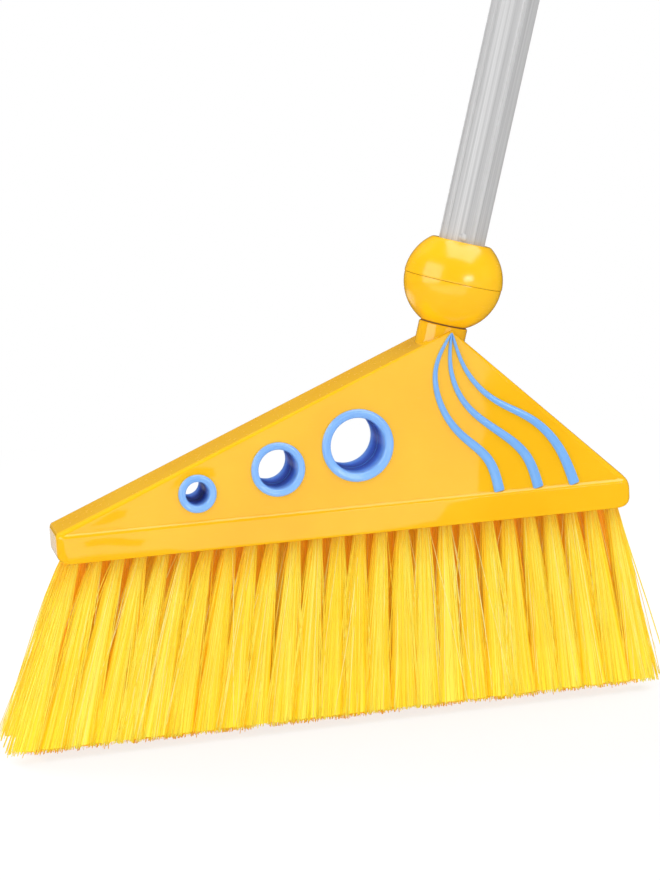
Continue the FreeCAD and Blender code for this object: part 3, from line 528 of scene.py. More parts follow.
def make_hood():
    """The skirt, its ledge and the wedge over it, with the neck, its socket and the tunnels."""
    rings = []
    for step in range(5):
        angle = math.pi / 2 * step / 4
        rise = RIM_EDGE * (1 - math.cos(angle))
        rings.append(hood_ring(rise, RIM_EDGE * (1 - math.sin(angle))))
    for rise in (1.2, 1.8, 2.5, 3.3, 4.4, 6.0, 8.7, 9.8, 10.9):
        rings.append(hood_ring(rise))
    # the ledge's edge slants over, then runs into the face
    ledge_top = SKIRT_RISE + LEDGE_LIFT
    back = FACE_SET_BACK - LEDGE_OUT
    for step in range(9):
        angle = math.pi / 2 * step / 8
        rise = ledge_top - back - LEDGE_TALL * (1 - math.sin(angle) ** 1.5)
        rings.append(ledge_ring(rise, LEDGE_OUT * (1 - math.cos(angle) ** 1.5)))
    for step in range(1, 4):
        angle = math.pi / 2 * step / 3
        rise = ledge_top - back * math.cos(angle)
        rings.append(ledge_ring(rise, LEDGE_OUT + back * math.sin(angle)))
    rings.append(hood_ring(ledge_top + 0.6))
    first, last = 15.6, POINT_RISE - 1.5
    for step in range(13):
        rings.append(hood_ring(first + (last - first) * step / 12))
    for rest in (0.9, 0.4, 0.0):
        rings.append(hood_ring(POINT_RISE - rest))
    mesh = ring_stack("hood_shell", rings)

    to_handle = Matrix.Translation(Vector((ball_centre.x, 0, ball_centre.z - BRISTLE_DROP)))
    to_handle = to_handle @ Matrix.Rotation(lean, 4, "Y")
    neck = vectors((NECK_RADIUS, SOCKET_END - WALL), (NECK_RADIUS, NECK_TOP - NECK_EDGE))
    for step in range(1, 5):
        angle = math.pi / 2 * step / 4
        radius = NECK_RADIUS - NECK_EDGE * (1 - math.cos(angle))
        neck.append(Vector((radius, NECK_TOP - NECK_EDGE * (1 - math.sin(angle)))))
    mesh = combine(mesh, spin_solid("neck", neck), "UNION", to_handle)
    mesh = combine(mesh, cylinder(SOCKET_RADIUS, SOCKET_END, NECK_TOP + 5), "DIFFERENCE", to_handle)
    for offset, rise, bore, _ in EYELETS.values():
        across = Matrix.Translation((offset, 0, rise)) @ Matrix.Rotation(math.pi / 2, 4, "X")
        hole = cylinder(bore + EYELET_WALL + TUNNEL_PLAY, -2 * SKIRT_DEPTH, 2 * SKIRT_DEPTH)
        mesh = combine(mesh, hole, "DIFFERENCE", across)
    half, depth = SKIRT_HALF - WALL, SKIRT_DEPTH - WALL
    corner = SKIRT_CORNER - WALL
    recess = [level_ring(-half, half, depth, corner, rise) for rise in (-5.0, SKIRT_RISE)]
    mesh = combine(mesh, ring_stack("recess", recess), "DIFFERENCE")
    piece = finish_mesh("hood_shell", mesh, HEAD, yellow, 34.0)
    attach(piece, "head")
    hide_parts("hood")


make_hood()


# Eyelets
def make_eyelet(name, side):
    """A blue ring with a stepped crown and a finely ribbed bore."""
    offset, rise, bore, rim = EYELETS[name]
    depth = face_depth(rise)
    crown = EYELET_PROUD
    width = rim - bore
    step = bore + 0.42 * width
    outline = [
        (rim, 0.0),
        (rim, EYELET_FOOT),
        (rim - 0.06 * width, 0.62 * crown),
        (rim - 0.16 * width, 0.86 * crown),
        (rim - 0.30 * width, crown),
        (step + 0.10 * width, 0.95 * crown),
        (step + 0.03, 0.84 * crown),
        (step - 0.03 * width, 0.80 * crown),
        (step - 0.10 * width, 0.84 * crown),
        (bore + 0.20 * width, 0.70 * crown),
        (bore + 0.10 * width, 0.45 * crown),
        (bore + 0.04 * width, 0.1 * crown),
        (bore, -0.8),
    ]
    length = depth - EYELET_MEETING / 2
    ribs = int(length / RIB_PITCH) - 1
    for rib in range(1, ribs + 1):
        low = RIB_PITCH * rib
        outline += [(bore, 0.35 - low), (bore + RIB_DEPTH, 0.1 - low), (bore, -0.15 - low)]
    barrel = bore + EYELET_WALL
    outline += [(bore, -length), (barrel, -length), (barrel, 0.0)]
    mesh = spin(f"{side}_{name}_eyelet_ring", vectors(*reversed(outline)), 128)
    sign = -1 if side == "front" else 1
    upright = math.radians(90) - math.atan(FACE_SLOPE)
    place = Matrix.Translation(Vector((offset, depth * sign, BRISTLE_DROP + rise)) * MM)
    place = place @ Matrix.Rotation(upright * -sign, 4, "X")
    piece = finish_mesh(f"{side}_{name}_eyelet_ring", mesh, place, [ring_blue, bore_painted_shade], 40.0)
    # faces inside the bore take the material with painted shade
    for face in piece.data.polygons:
        centre = face.center / MM
        if centre.z < -0.3 and math.hypot(centre.x, centre.y) < bore + 0.5:
            face.material_index = 1
    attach(piece, "head")
    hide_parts(f"{side}_{name}_eyelet")


for name in EYELETS:
    make_eyelet(name, "front")
    make_eyelet(name, "rear")


# Waves: from the peak to their feet, as shares of the run to the right end and of the slope
WAVE_RUNS = [
    [-0.006, -0.106, -0.093, 0.025, 0.173, 0.228],
    [-0.005, -0.022, 0.047, 0.219, 0.395, 0.459],
    [-0.003, 0.057, 0.215, 0.442, 0.592, 0.673],
]
WAVE_RISES = [
    [0.987, 0.784, 0.580, 0.367, 0.202, 0.012],
    [0.986, 0.803, 0.567, 0.387, 0.206, 0.012],
    [0.987, 0.780, 0.571, 0.420, 0.234, 0.012],
]
WAVE_SECTION = [
    (-1.0, -0.15), (-1.0, 0.12), (-0.97, 0.36), (-0.88, 0.6), (-0.7, 0.8), (-0.42, 0.94), (0.0, 1.0)
]
WAVE_SUNK = -0.15
WAVE_PROUD = 1.2
WAVE_TIP = 1.1
WAVE_GROWTH = 0.85
WAVE_FOOT = 5.1


def smooth_line(points, steps):
    """A natural cubic spline through the points, spaced by their chords."""
    points = np.array(points)
    chords = np.linalg.norm(np.diff(points, axis=0), axis=1)
    knots = np.concatenate([[0], np.cumsum(chords)])
    count = len(points)
    system = np.eye(count)
    right = np.zeros((count, 2))
    for n in range(1, count - 1):
        before, after = chords[n - 1], chords[n]
        system[n, n - 1 : n + 2] = before, 2 * (before + after), after
        right[n] = 6 * ((points[n + 1] - points[n]) / after - (points[n] - points[n - 1]) / before)
    bends = np.linalg.solve(system, right)
    line = []
    for place in np.linspace(0, knots[-1], steps):
        n = min(np.searchsorted(knots, place, side="right") - 1, count - 2)
        span = chords[n]
        a, b = (knots[n + 1] - place) / span, (place - knots[n]) / span
        curve = a * points[n] + b * points[n + 1]
        curve += ((a**3 - a) * bends[n] + (b**3 - b) * bends[n + 1]) * span**2 / 6
        line.append(curve)
    return np.array(line)


def make_waves(side):
    """Raised bands with rounded edges, thin at the peak and wide at the foot."""
    run = HOOD_HALF - APEX_OFFSET
    slant = math.hypot(1.0, FACE_SLOPE) * (APEX_RISE - SKIRT_RISE)
    profile = WAVE_SECTION + [(-x, y) for x, y in reversed(WAVE_SECTION[:-1])]
    steps = 72
    work = bmesh.new()
    for number, (wave_runs, wave_rises) in enumerate(zip(WAVE_RUNS, WAVE_RISES)):
        points = [(APEX_OFFSET + run * x, slant * y) for x, y in zip(wave_runs, wave_rises)]
        line = smooth_line(points, steps)
        along = np.gradient(line, axis=0)
        along /= np.linalg.norm(along, axis=1)[:, None]
        rings = []
        for step in range(steps):
            share = step / (steps - 1)
            half = (WAVE_TIP + (WAVE_FOOT - WAVE_TIP) * share**WAVE_GROWTH) / 2
            half *= min(1.0, 0.35 + 20 * share)
            height = WAVE_PROUD * (0.80 + 0.08 * number * (1 - share) + 0.2 * share)
            height = min(height, WAVE_PROUD)
            aside = np.array((-along[step][1], along[step][0]))
            ring = []
            for x, y in profile:
                place = line[step] - aside * x * half
                ring.append((place[0], place[1], max(y, WAVE_SUNK) * height))
            rings.append(ring)
        aside = np.array((-along[-1][1], along[-1][0])) * WAVE_FOOT / 2
        for share in (0.5, 0.8):
            shrink = 0.35 + 0.65 * math.sqrt(1 - share**2)
            ring = []
            for x, y in profile:
                place = line[-1] - aside * x * (1 - 0.12 * share) + along[-1] * share * 0.6
                ring.append((place[0], place[1], max(y * shrink, WAVE_SUNK) * WAVE_PROUD))
            rings.append(ring)
        mesh = ring_stack("wave", rings)
        work.from_mesh(mesh)
        bpy.data.meshes.remove(mesh)
    mesh = bpy.data.meshes.new(f"{side}_wave_bands")
    work.to_mesh(mesh)
    work.free()
    if side == "rear":
        mesh.transform(Matrix.Scale(-1, 4, (0, 0, 1)))
        mesh.flip_normals()
    sign = -1 if side == "front" else 1
    tilt = math.radians(90) + math.atan(FACE_SLOPE) * sign
    foot = Vector((0, face_depth(SKIRT_RISE) * sign, BRISTLE_DROP + SKIRT_RISE))
    place = Matrix.Translation(foot * MM) @ Matrix.Rotation(tilt, 4, "X")
    piece = finish_mesh(f"{side}_wave_bands", mesh, place, blue, 40.0)
    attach(piece, "head")
    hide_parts(f"{side}_waves")


make_waves("front")
make_waves("rear")


# Ball: an upper and a lower half round the coupling
def seat(radius, up):
    """Radius of a circle of a ball at this height."""
    return math.sqrt(radius**2 - up**2)


def make_ball():
    """Two hollow shells with a fine seam, each with a sleeve: for the tube and for the core."""
    inner = BALL_UPPER - BALL_WALL
    bore = TUBE_RADIUS + SNUG / 2
    sleeve = bore + BALL_SLEEVE
    top_angle = math.degrees(math.asin(BALL_TOP / BALL_UPPER))
    sleeve_angle = math.degrees(math.acos(sleeve / inner))
    edge = seat(BALL_UPPER, BALL_TOP)
    outline = vectors((BALL_UPPER - BALL_LIP, 0.03), (BALL_UPPER - 0.1, 0.12))
    outline += arc(BALL_UPPER, 1.2, top_angle - 1.2, 40)
    outline += vectors((edge - 0.12, BALL_TOP - 0.06), (edge - 0.6, BALL_TOP))
    outline += vectors((bore + 0.5, BALL_TOP), (bore + 0.1, BALL_TOP - 0.15))
    outline += vectors((bore, BALL_TOP - 0.6))
    outline += vectors((bore, TUBE_START), (sleeve, TUBE_START), (sleeve, seat(inner, sleeve)))
    outline += arc(inner, sleeve_angle - 2, 2, 12) + vectors((inner, 0.03))
    mesh = spin("ball_upper_shell", outline, 160)
    upper = finish_mesh("ball_upper_shell", mesh, HANDLE, yellow_ball_lit, 32.0)

    inner = BALL_LOWER - BALL_WALL
    bore = BALL_LOWER_BORE
    sleeve = bore + BALL_SLEEVE
    low_angle = math.degrees(math.asin(BALL_BOTTOM / BALL_LOWER))
    sleeve_angle = math.degrees(math.acos(sleeve / inner))
    edge = seat(BALL_LOWER, BALL_BOTTOM)
    outline = vectors((inner, -0.03)) + arc(inner, -2, -sleeve_angle + 2, 12)
    outline += vectors((sleeve, -seat(inner, sleeve)), (sleeve, -TUBE_START), (bore, -TUBE_START))
    outline += vectors((bore, -BALL_BOTTOM), (edge - 0.3, -BALL_BOTTOM))
    outline += vectors((edge - 0.05, -BALL_BOTTOM + 0.08))
    outline += arc(BALL_LOWER, 1.0 - low_angle, -1.0, 40)
    outline += vectors((BALL_LOWER - 0.08, -0.1), (BALL_LOWER - BALL_LIP, -0.03))
    mesh = spin("ball_lower_shell", outline, 160)
    lower = finish_mesh("ball_lower_shell", mesh, HANDLE, yellow_ball_lit, 32.0)
    for piece, node in ((upper, "ball_upper_half"), (lower, "ball_lower_half")):
        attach(piece, "handle")
        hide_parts(node)


make_ball()


def make_washer():
    """A thin ring between the neck and the ball."""
    top = -BALL_BOTTOM + 0.1
    corners = [(WASHER_BORE, NECK_TOP, 0), (WASHER_RIM, NECK_TOP, 0.15)]
    corners += [(WASHER_RIM, top, 0.15), (WASHER_BORE, top, 0)]
    mesh = spin("neck_washer_ring", filleted(corners), 128)
    piece = finish_mesh("neck_washer_ring", mesh, HANDLE, rubber)
    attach(piece, "washer")
    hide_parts("neck_washer")


make_washer()


# Handle tube
GROOVE_RADIUS = 1.1
GROOVE_DEPTH = 0.35
GROOVE_TURN = 279.5
GROOVE_COUNT = 5


def make_tube():
    """A drawn tube with shallow grooves along it."""
    segments = 480
    bore = TUBE_RADIUS - TUBE_WALL
    outer, inner = [], []
    reach = TUBE_RADIUS + GROOVE_RADIUS - GROOVE_DEPTH
    for number in range(segments):
        angle = 2 * math.pi * number / segments
        radius = TUBE_RADIUS
        for groove in range(GROOVE_COUNT):
            off = angle - math.radians(GROOVE_TURN + 360 / GROOVE_COUNT * groove)
            off = (off + math.pi) % (2 * math.pi) - math.pi
            under = GROOVE_RADIUS**2 - (reach * math.sin(off)) ** 2
            if under > 0 and abs(off) < 1:
                radius = min(radius, reach * math.cos(off) - math.sqrt(under))
        outer.append((radius * math.cos(angle), radius * math.sin(angle)))
        inner.append((bore * math.cos(angle), bore * math.sin(angle)))
    rings = [[(x, y, z) for x, y in outer] for z in (TUBE_START, 260.0, 510.0, TUBE_END)]
    rings += [[(x, y, z) for x, y in inner] for z in (TUBE_END, TUBE_START)]
    mesh = ring_stack("tube_drawn", rings, closed=True)
    piece = finish_mesh("tube_drawn", mesh, HANDLE, aluminium, 40.0)
    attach(piece, "handle")
    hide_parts("handle_tube")


make_tube()


# Hanging cap
def make_cap():
    """A sleeve over the tube's end with a rounded tab on it and a hole through the tab."""
    bore = TUBE_RADIUS + SNUG / 2
    outer = bore + CAP_WALL
    roof = TUBE_END + CAP_ROOF
    low = TUBE_END - CAP_SKIRT
    corners = [(bore, low, 0.4), (outer, low, 0.7), (outer, roof, 1.6)]
    corners += [(0.6, roof, 0), (0.6, TUBE_END, 0), (bore, TUBE_END, 0)]
    mesh = spin("hanging_cap_moulded", filleted(corners), 96)
    hole_up = TUBE_END + CAP_HOLE_RISE
    half = CAP_HALF_DEPTH
    # the tab's edges are rounded: inset by so much at so much from each face
    insets = [(0.0, 0.9), (0.25, 0.3), (0.9, 0.0)]
    levels = [(-half + off, inset) for off, inset in insets]
    levels += [(half - off, inset) for off, inset in reversed(insets)]
    rings = []
    for depth, inset in levels:
        width = outer - inset
        ring = [(-width, depth, TUBE_END + 2.0), (width, depth, TUBE_END + 2.0)]
        for angle in np.linspace(0, math.pi, 33):
            ring.append((width * math.cos(angle), depth, hole_up + width * math.sin(angle)))
        rings.append(ring)
    mesh = combine(mesh, ring_stack("tab", rings), "UNION")
    across = Matrix.Translation((0, 0, hole_up)) @ Matrix.Rotation(math.pi / 2, 4, "X")
    flare = vectors((CAP_HOLE + 0.9, -half - 1.0), (CAP_HOLE + 0.9, -half))
    flare += vectors((CAP_HOLE + 0.25, -half + 0.3), (CAP_HOLE, -half + 0.9))
    flare += [Vector((point.x, -point.y)) for point in reversed(flare)]
    mesh = combine(mesh, spin_solid("eye", flare, 64), "DIFFERENCE", across)
    piece = finish_mesh("hanging_cap_moulded", mesh, HANDLE, yellow, 34.0)
    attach(piece, "handle")
    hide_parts("hanging_cap")


make_cap()


# Bristles: every tuft has a close-packed core and loose filaments, and fans out from its hole
FLARE_LEFT = 30.0
FLARE_RIGHT = 10.0
FLARE_ROW = 5.6
OUTER_TIP_RISE = 5.0
BLOCK_INSET = 1.4
ROOT_RISE = 98.9
SIDES = 3
TONES = 64
LEVELS = np.array([0.0, 0.10, 0.24, 0.40, 0.58, 0.78, 1.0])
CORE_FLUTES = 36
CORE_ROOT = 2.25
CORE_TIP_ACROSS = 6.0
CORE_TIP_DEEP = 5.9
CORE_END = 0.985
CORE_FACE = (0.72, 0.45, 0.2)
SCREW_PLAY = 6.1
TIP_REACH = 6.6
ROOT_REACH = 2.7
CLUMPS = 9
STRAYS, STRAY_REACH = 0.035, 6.5
LOOSE, LOOSE_REACH = 0.16, 4.2
# painted highlight: this share of filaments, and every stray, take the pale tone
PALE, PALE_TONE = 0.03, 0.985
HELD_REACH = 1.15
TUFT_LEAN = 1.3
DEEPEST_TIP = 23.0  # how far tips and filaments may reach to the front and the back
DEEPEST = 23.4
ROW_REACH = TUFT_PITCH * (OUTER_TUFTS - 1) / 2


def tip_place(place):
    """Where the tips of the tuft at this place spread to along the row."""
    share = (place + ROW_REACH) / (2 * ROW_REACH)
    return place - FLARE_LEFT * (1 - share) + FLARE_RIGHT * share


def tuft_places(row):
    """The tufts' places along a row. The middle row, 0, leaves room for the screws."""
    if row != 0:
        return [TUFT_PITCH * number - ROW_REACH for number in range(OUTER_TUFTS)]
    screws = [TUFT_PITCH * 6 * step for step in (-1.5, -0.5, 0.5, 1.5)]
    places = [TUFT_PITCH * (number + 0.5) - ROW_REACH for number in range(OUTER_TUFTS - 1)]
    return [x for x in places if min(abs(x - screw) for screw in screws) > SCREW_PLAY]


def shut_in(place, facing):
    """How far a tuft's side is turned to its neighbour: 0 on the open ends of a row."""
    if abs(place) < ROW_REACH - 1:
        return np.abs(facing)
    return np.maximum(-facing * np.sign(place), 0)


def add_values(mesh, **labels):
    """Point attributes that the bristles' material reads."""
    for label, values in labels.items():
        attribute = mesh.attributes.new(label, "FLOAT", "POINT")
        attribute.data.foreach_set("value", np.array(values, dtype=np.float32))


def make_cores(name, row):
    """The close-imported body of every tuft, fluted by its filaments."""
    mesh = bpy.data.meshes.new(name)
    work = bmesh.new()
    runs, tones = [], []
    top = BRISTLE_DROP + BLOCK_INSET
    tip_rise = OUTER_TIP_RISE * abs(row)
    turns = np.linspace(0, 2 * math.pi, CORE_FLUTES, endpoint=False)
    cos, sin = np.cos(turns), np.sin(turns)
    # painted shade: the middle row's tones stay low, deep orange
    dark, bright = (0.27, 0.80) if row else (0.0, 0.2)
    for place in tuft_places(row):
        flute = 1 + rng.uniform(-0.07, 0.05, CORE_FLUTES)
        tone = rng.uniform(dark, bright, CORE_FLUTES)
        # painted shade: flutes turned to a neighbouring tuft are darker and more orange
        tone *= 1 - 0.5 * shut_in(place, cos) ** 3
        rings = []
        for level in (-0.075, 0.0, 0.10, 0.24, 0.40, 0.58, 0.78, CORE_END):
            moved = max(level, 0.0) ** 0.97
            half_x = CORE_ROOT + (CORE_TIP_ACROSS - CORE_ROOT) * moved
            half_y = CORE_ROOT + (CORE_TIP_DEEP - CORE_ROOT) * moved
            power = 1.0 - 0.35 * moved
            x = place + (tip_place(place) - place) * moved
            y = row * (ROW_PITCH + FLARE_ROW * moved)
            z = top + (tip_rise - top) * level
            ripple = flute + rng.uniform(-0.012, 0.012, CORE_FLUTES)
            ring_x = x + half_x * ripple * np.sign(cos) * np.abs(cos) ** power
            ring_y = y + half_y * ripple * np.sign(sin) * np.abs(sin) ** power
            rings.append((ring_x, ring_y, np.full(CORE_FLUTES, z), max(level, 0.0)))
        end_x, end_y, end_z, run = rings[-1]
        for share in CORE_FACE:
            ring_x = x + (end_x - x) * share
            ring_y = y + (end_y - y) * share
            rings.append((ring_x, ring_y, end_z + rng.uniform(-0.3, 0.8, CORE_FLUTES), 1.0))
        columns = []
        for ring_x, ring_y, ring_z, run in rings:
            columns.append([work.verts.new((a, b, c)) for a, b, c in zip(ring_x, ring_y, ring_z)])
            runs += [run] * CORE_FLUTES
            tones += list(tone)
        for low, high in zip(columns, columns[1:]):
            for n in range(CORE_FLUTES):
                after = (n + 1) % CORE_FLUTES
                work.faces.new((low[n], high[n], high[after], low[after]))
        work.faces.new(columns[0])
        work.faces.new(list(reversed(columns[-1])))
    work.to_mesh(mesh)
    work.free()
    add_values(mesh, run=runs, tone=tones)
    piece = finish_mesh(name, mesh, Matrix.Identity(4), bristle, 60.0)
    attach(piece, "head")
    return piece


def bristle_paths(row, count):
    """Centre lines and tones of a row's loose filaments, count to each tuft."""
    centres, tones = [], []
    top = BRISTLE_DROP + BLOCK_INSET
    tip_rise = OUTER_TIP_RISE * abs(row)
    # painted shade: the middle row's tones stay low, deep orange
    dark, bright = (0.30, 0.95) if row else (0.0, 0.20)
    for place in tuft_places(row):
        turn = rng.uniform(0, 2 * math.pi, count)
        shell = rng.uniform(0, 1, count) < 0.7
        off = np.where(shell, rng.uniform(0.86, 1.04, count), np.sqrt(rng.uniform(0, 1, count)))
        root = np.stack([off * np.cos(turn), off * np.sin(turn)], axis=1)
        square = root / np.maximum(np.abs(root).max(axis=1), 1e-6)[:, None] * off[:, None]
        clump = rng.uniform(-1, 1, (CLUMPS, 2))
        near = np.argmin(np.linalg.norm(square[:, None] - clump[None], axis=2), axis=1)
        hold = np.where(shell, 0.9, 0.66)[:, None]
        spread = square * hold + clump[near] * (1 - hold)
        stray = rng.uniform(0, 1, count) < STRAYS
        loose = rng.uniform(0, 1, count) < LOOSE
        reach = np.where(stray, STRAY_REACH, np.where(loose, LOOSE_REACH, HELD_REACH))
        wander = rng.normal(0, 1, (count, 2)) * reach[:, None]
        tuft_lean = rng.normal(0, TUFT_LEAN)
        tip_x = tip_place(place) + tuft_lean + spread[:, 0] * TIP_REACH + wander[:, 0]
        tip_y = row * (ROW_PITCH + FLARE_ROW) + spread[:, 1] * TIP_REACH + wander[:, 1] * 0.5
        tip_z = tip_rise + np.abs(rng.normal(0, 0.55, count))
        tip_z += np.where(stray, rng.uniform(0, 9, count), 0)
        tip_x = np.clip(tip_x, cad_box[0][0] / MM + 0.6, None)
        tip_y = np.clip(tip_y, -DEEPEST_TIP, DEEPEST_TIP)
        foot = root * ROOT_REACH + np.array((place, row * ROW_PITCH))
        sway = rng.normal(0, 0.55, (count, 2))
        curl = rng.normal(0, 0.3, (count, 2))
        ease = rng.uniform(0.90, 1.04, count)
        path = np.zeros((count, len(LEVELS) + 1, 3))
        path[:, 0, :2] = foot
        path[:, 0, 2] = ROOT_RISE
        tip = np.stack([tip_x, tip_y], axis=1)
        for level, share in enumerate(LEVELS):
            moved = (share**ease)[:, None]
            bend = sway * math.sin(math.pi * share) + curl * math.sin(2 * math.pi * share)
            path[:, level + 1, :2] = foot + (tip - foot) * moved + bend
            path[:, level + 1, 2] = top + (tip_z - top) * share
        centres.append(path)
        tone = rng.uniform(dark, bright, count)
        # painted shade: outer filaments turned to a neighbouring tuft are darker and more orange
        tone *= 1 - 0.35 * shut_in(place, np.cos(turn)) ** 4 * (off > 0.7)
        # painted highlight: strays and a few others take the pale tone
        pale = stray | (rng.uniform(0, 1, count) < PALE)
        tones.append(np.where(pale, PALE_TONE, tone))
    tones = np.round(np.concatenate(tones) * (TONES - 1)) / (TONES - 1)
    return np.concatenate(centres), tones


def make_bristles(name, row, count):
    """A row's loose filaments as thin three-sided prisms, all in one mesh."""
    centres, tones = bristle_paths(row, count)
    total, levels = centres.shape[:2]
    thick = np.where(tones > 0.96, 0.17, rng.uniform(0.22, 0.29, total))
    width = np.linspace(1.0, 0.82, levels)
    start = rng.uniform(0, 2 * math.pi, total)
    points = np.zeros((total, levels, SIDES, 3))
    for side in range(SIDES):
        angle = start + 2 * math.pi * side / SIDES
        points[:, :, side, :] = centres
        points[:, :, side, 0] += (thick * np.cos(angle))[:, None] * width
        points[:, :, side, 1] += (thick * np.sin(angle))[:, None] * width
    points[..., 1] = np.clip(points[..., 1], -DEEPEST, DEEPEST)
    points[..., 2] = np.maximum(points[..., 2], 0.05)
    base = np.arange(total)[:, None, None] * levels * SIDES
    level = np.arange(levels - 1)[None, :, None] * SIDES
    side = np.arange(SIDES)[None, None, :]
    after = (side + 1) % SIDES
    low, high = base + level, base + level + SIDES
    quads = np.stack([low + side, high + side, high + after, low + after], axis=-1)
    quads = quads.reshape(-1, 4)
    first = np.arange(total)[:, None] * levels * SIDES
    root_faces = first + np.arange(SIDES)[None, :]
    tip_faces = first + (levels - 1) * SIDES + np.arange(SIDES)[None, ::-1]
    triangles = np.concatenate([root_faces, tip_faces])
    mesh = bpy.data.meshes.new(name)
    mesh.vertices.add(total * levels * SIDES)
    mesh.vertices.foreach_set("co", (points.reshape(-1, 3) * MM).astype(np.float32).ravel())
    loops = np.concatenate([quads.ravel(), triangles.ravel()])
    mesh.loops.add(len(loops))
    mesh.loops.foreach_set("vertex_index", loops.astype(np.int32))
    first_loops = np.arange(len(quads)) * 4, len(quads) * 4 + np.arange(len(triangles)) * 3
    starts = np.concatenate(first_loops)
    mesh.polygons.add(len(starts))
    mesh.polygons.foreach_set("loop_start", starts.astype(np.int32))
    run = np.tile(np.concatenate([[0.0], LEVELS])[None, :, None], (total, 1, SIDES)).ravel()
    tone = np.repeat(tones, levels * SIDES)
    add_values(mesh, run=run, tone=tone)
    mesh.update(calc_edges=True)
    mesh.validate()
    mesh.shade_smooth()
    # a map of tone across and run up
    layer = mesh.uv_layers.new(name="OFBake")
    across = (tone[loops] * (TONES - 1) + 0.15 + 0.7 * ((loops % SIDES) / (SIDES - 1))) / TONES
    spots = np.stack([across, 0.02 + 0.96 * run[loops]], axis=1)
    layer.data.foreach_set("uv", spots.astype(np.float32).ravel())
    mesh.materials.append(bristle)
    piece = bpy.data.objects.new(name, mesh)
    bpy.context.scene.collection.objects.link(piece)
    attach(piece, "head")
    return piece


for name, row, count in (("front", -1, 150), ("middle", 0, 110), ("rear", 1, 150)):
    piece = make_bristles(f"{name}_filaments", row, count)
    # real filaments are translucent: the loose ones take no light from the cores
    piece.visible_shadow = False
    piece.visible_diffuse = False
    core = make_cores(f"{name}_tuft_cores", row)
    for one in (piece, core):
        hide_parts(f"{name}_tufts")


# Carried-over pieces
for node, material in (
    ("tuft_block", block),
    ("block_screws", steel),
    ("tuft_anchors", steel),
    ("threaded_coupling", yellow),
    ("tube_rivet", aluminium),
):
    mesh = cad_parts[node].data
    mesh.materials.clear()
    mesh.materials.append(material)


# Floor, light and background
def white_share(look, share):
    """How white the floor is: its share for the camera, mirrors and clear paths, else 0."""
    rays = look.add("LightPath").outputs
    inputs = {0: rays["Is Camera Ray"], 1: rays["Is Glossy Ray"]}
    either = look.add("Math", inputs, operation="MAXIMUM").outputs[0]
    inputs = {0: either, 1: rays["Is Transmission Ray"]}
    both = look.add("Math", inputs, operation="MAXIMUM").outputs[0]
    return look.add("Math", {0: both, 1: share}, operation="MULTIPLY").outputs[0]


def stage_piece(name, points, faces, look):
    mesh = bpy.data.meshes.new(name)
    mesh.from_pydata(points, [], faces)
    piece = bpy.data.objects.new(name, mesh)
    bpy.context.scene.collection.objects.link(piece)
    mesh.materials.append(look.material)
    return piece


def flat_piece(name, corners, height, look):
    points = [(x, y, height) for x, y in corners]
    return stage_piece(name, points, [tuple(range(len(corners)))], look)


def make_floor():
    """Pale, with the object's soft shadow near it, and plain white further away."""
    look = Look("floor_white", base_color=(0.86, 0.86, 0.86, 1.0), roughness=0.9)
    away = look.add("VectorMath", {0: look.place()}, operation="LENGTH").outputs["Value"]
    inputs = {"Value": away, "From Min": 0.3, "From Max": 0.8, "To Min": 0.76, "To Max": 1.0}
    far = look.add("MapRange", inputs, interpolation_type="SMOOTHSTEP").outputs["Result"]
    glow = look.add("Emission", {"Color": (1, 1, 1, 1), "Strength": 1.0})
    share = white_share(look, far)
    blend = look.add("MixShader", {0: share, 1: look.shader.outputs[0], 2: glow.outputs[0]})
    look.tree.links.new(blend.outputs[0], look.tree.nodes["Material Output"].inputs["Surface"])
    reach = 9.0
    corners = [(-reach, -reach), (reach, -reach), (reach, reach), (-reach, reach)]
    flat_piece("floor", corners, 0.0, look)


def seen_in_gloss_only(sheet):
    sheet.visible_camera = False
    sheet.visible_diffuse = False
    sheet.visible_transmission = False
    sheet.visible_volume_scatter = False
    sheet.visible_shadow = False


def flag_look(name, grey):
    return Look(name, base_color=(grey, grey, grey, 1.0), roughness=0.8, specular_ior_level=0.0)


FLAG_TABLE = [
    (-3.9, -0.41), (0.145, -0.41), (0.235, -0.64), (0.30, -0.85), (0.39, -1.14),
    (0.52, -1.6), (3.6, -1.6), (3.9, 3.9), (-3.9, 3.9),
]
FLAG_SPOT = [
    (0.020, -0.723), (0.029, -0.772), (0.047, -0.823), (0.066, -0.838),
    (0.078, -0.814), (0.067, -0.742), (0.051, -0.708), (0.029, -0.712),
]
FLAG_LEFT = [
    (-0.059, -0.592), (-0.041, -0.641), (-0.024, -0.670),
    (-0.012, -0.663), (-0.018, -0.631), (-0.040, -0.606),
]
FLAG_STRIP = [
    (-0.077, -0.458), (-0.077, -0.434), (-0.039, -0.427), (-0.032, -0.447), (-0.052, -0.459)
]
CARD_LEFT = [(-0.42, 0.30), (-0.14, 0.30), (-0.14, 0.95), (-0.50, 0.95)]


def make_flags():
    """Studio sheets that only the gloss mirrors: dark ones, a paler card and a grey room."""
    dark = flag_look("flag_dark", 0.03)
    sheets = [
        flat_piece("flag_table", FLAG_TABLE, 0.002, dark),
        flat_piece("flag_spot", FLAG_SPOT, 0.002, dark),
        flat_piece("flag_left", FLAG_LEFT, 0.002, dark),
        flat_piece("flag_strip", FLAG_STRIP, 0.002, dark),
        flat_piece("card_left", CARD_LEFT, 0.004, flag_look("card_pale", 0.42)),
    ]
    radius, top, sides = 4.0, 3.0, 24
    turns = [2 * math.pi * n / sides for n in range(sides)]
    rim = [(radius * math.cos(a), radius * math.sin(a)) for a in turns]
    points = [(x, y, 0.003) for x, y in rim] + [(x, y, top) for x, y in rim]
    faces = [(n, (n + 1) % sides, sides + (n + 1) % sides, sides + n) for n in range(sides)]
    faces.append(tuple(range(sides, 2 * sides)))
    sheets.append(stage_piece("flag_room", points, faces, flag_look("flag_grey", 0.14)))
    for sheet in sheets:
        seen_in_gloss_only(sheet)


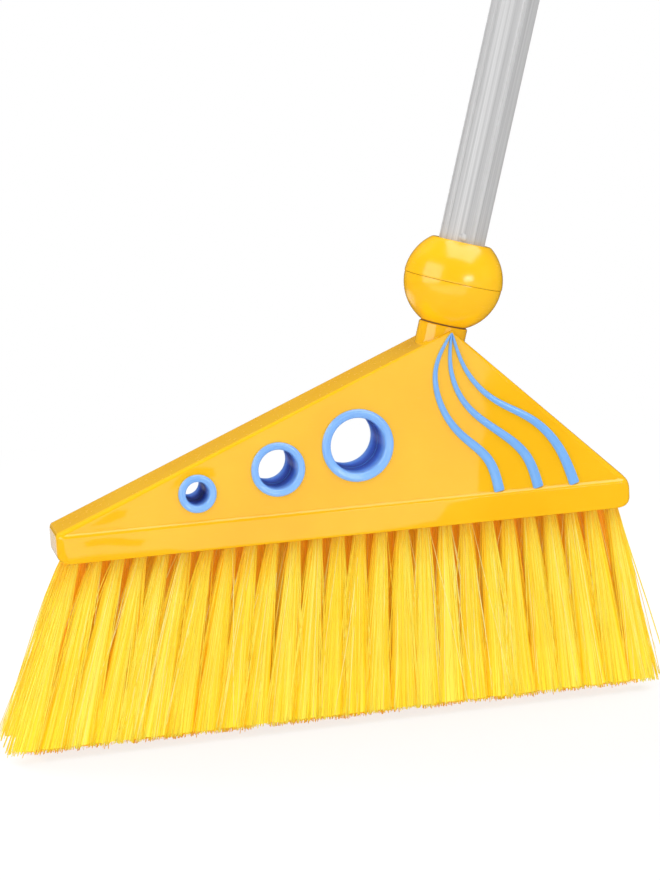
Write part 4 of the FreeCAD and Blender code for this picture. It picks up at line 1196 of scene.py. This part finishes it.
def make_world():
    world = bpy.data.worlds.new("studio")
    bpy.context.scene.world = world
    world.use_nodes = True
    tree = world.node_tree
    plain = tree.nodes["Background"]
    plain.inputs["Color"].default_value = (1, 1, 1, 1)
    plain.inputs["Strength"].default_value = 0.40
    white = tree.nodes.new("ShaderNodeBackground")
    white.inputs["Strength"].default_value = 1.0
    white.inputs["Color"].default_value = (1, 1, 1, 1)
    path = tree.nodes.new("ShaderNodeLightPath")
    either = tree.nodes.new("ShaderNodeMath")
    either.operation = "MAXIMUM"
    both = tree.nodes.new("ShaderNodeMath")
    both.operation = "MAXIMUM"
    tree.links.new(path.outputs["Is Camera Ray"], either.inputs[0])
    tree.links.new(path.outputs["Is Glossy Ray"], either.inputs[1])
    tree.links.new(either.outputs[0], both.inputs[0])
    tree.links.new(path.outputs["Is Transmission Ray"], both.inputs[1])
    mix = tree.nodes.new("ShaderNodeMixShader")
    tree.links.new(both.outputs[0], mix.inputs[0])
    tree.links.new(plain.outputs[0], mix.inputs[1])
    tree.links.new(white.outputs[0], mix.inputs[2])
    tree.links.new(mix.outputs[0], tree.nodes["World Output"].inputs["Surface"])


def make_lamp(name, direction, distance, size, glow, mirrored=True):
    """A soft box in this direction from the ball. glow is its brightness, white being 1.

    The gloss doesn't show it unless it is mirrored.
    """
    target = ball_centre * MM
    away = Vector(direction).normalized()
    data = bpy.data.lights.new(name, "AREA")
    data.shape = "RECTANGLE"
    data.size, data.size_y = size
    data.energy = glow * math.pi * size[0] * size[1]
    lamp = bpy.data.objects.new(name, data)
    turn = away.to_track_quat("Z", "Y").to_matrix().to_4x4()
    lamp.matrix_world = Matrix.Translation(target + away * distance) @ turn
    lamp.visible_glossy = mirrored
    bpy.context.scene.collection.objects.link(lamp)


make_floor()
make_flags()
make_world()
make_lamp("top_box", (0.316, -0.102, 0.943), 2.1, (2.36, 2.19), 2.4)
make_lamp("left_box", (-0.857, -0.336, 0.389), 1.7, (1.45, 1.3), 2.1)
make_lamp("front_strip", (0.346, -0.922, 0.15), 1.9, (0.7, 0.35), 7.0)
make_lamp("back_box", (-0.3, 0.7, 0.65), 1.7, (1.2, 1.0), 4.8, mirrored=False)
make_lamp("right_box", (0.9, -0.35, 0.1), 1.9, (1.0, 1.0), 1.3, mirrored=False)
bpy.context.scene.view_settings.view_transform = "Standard"
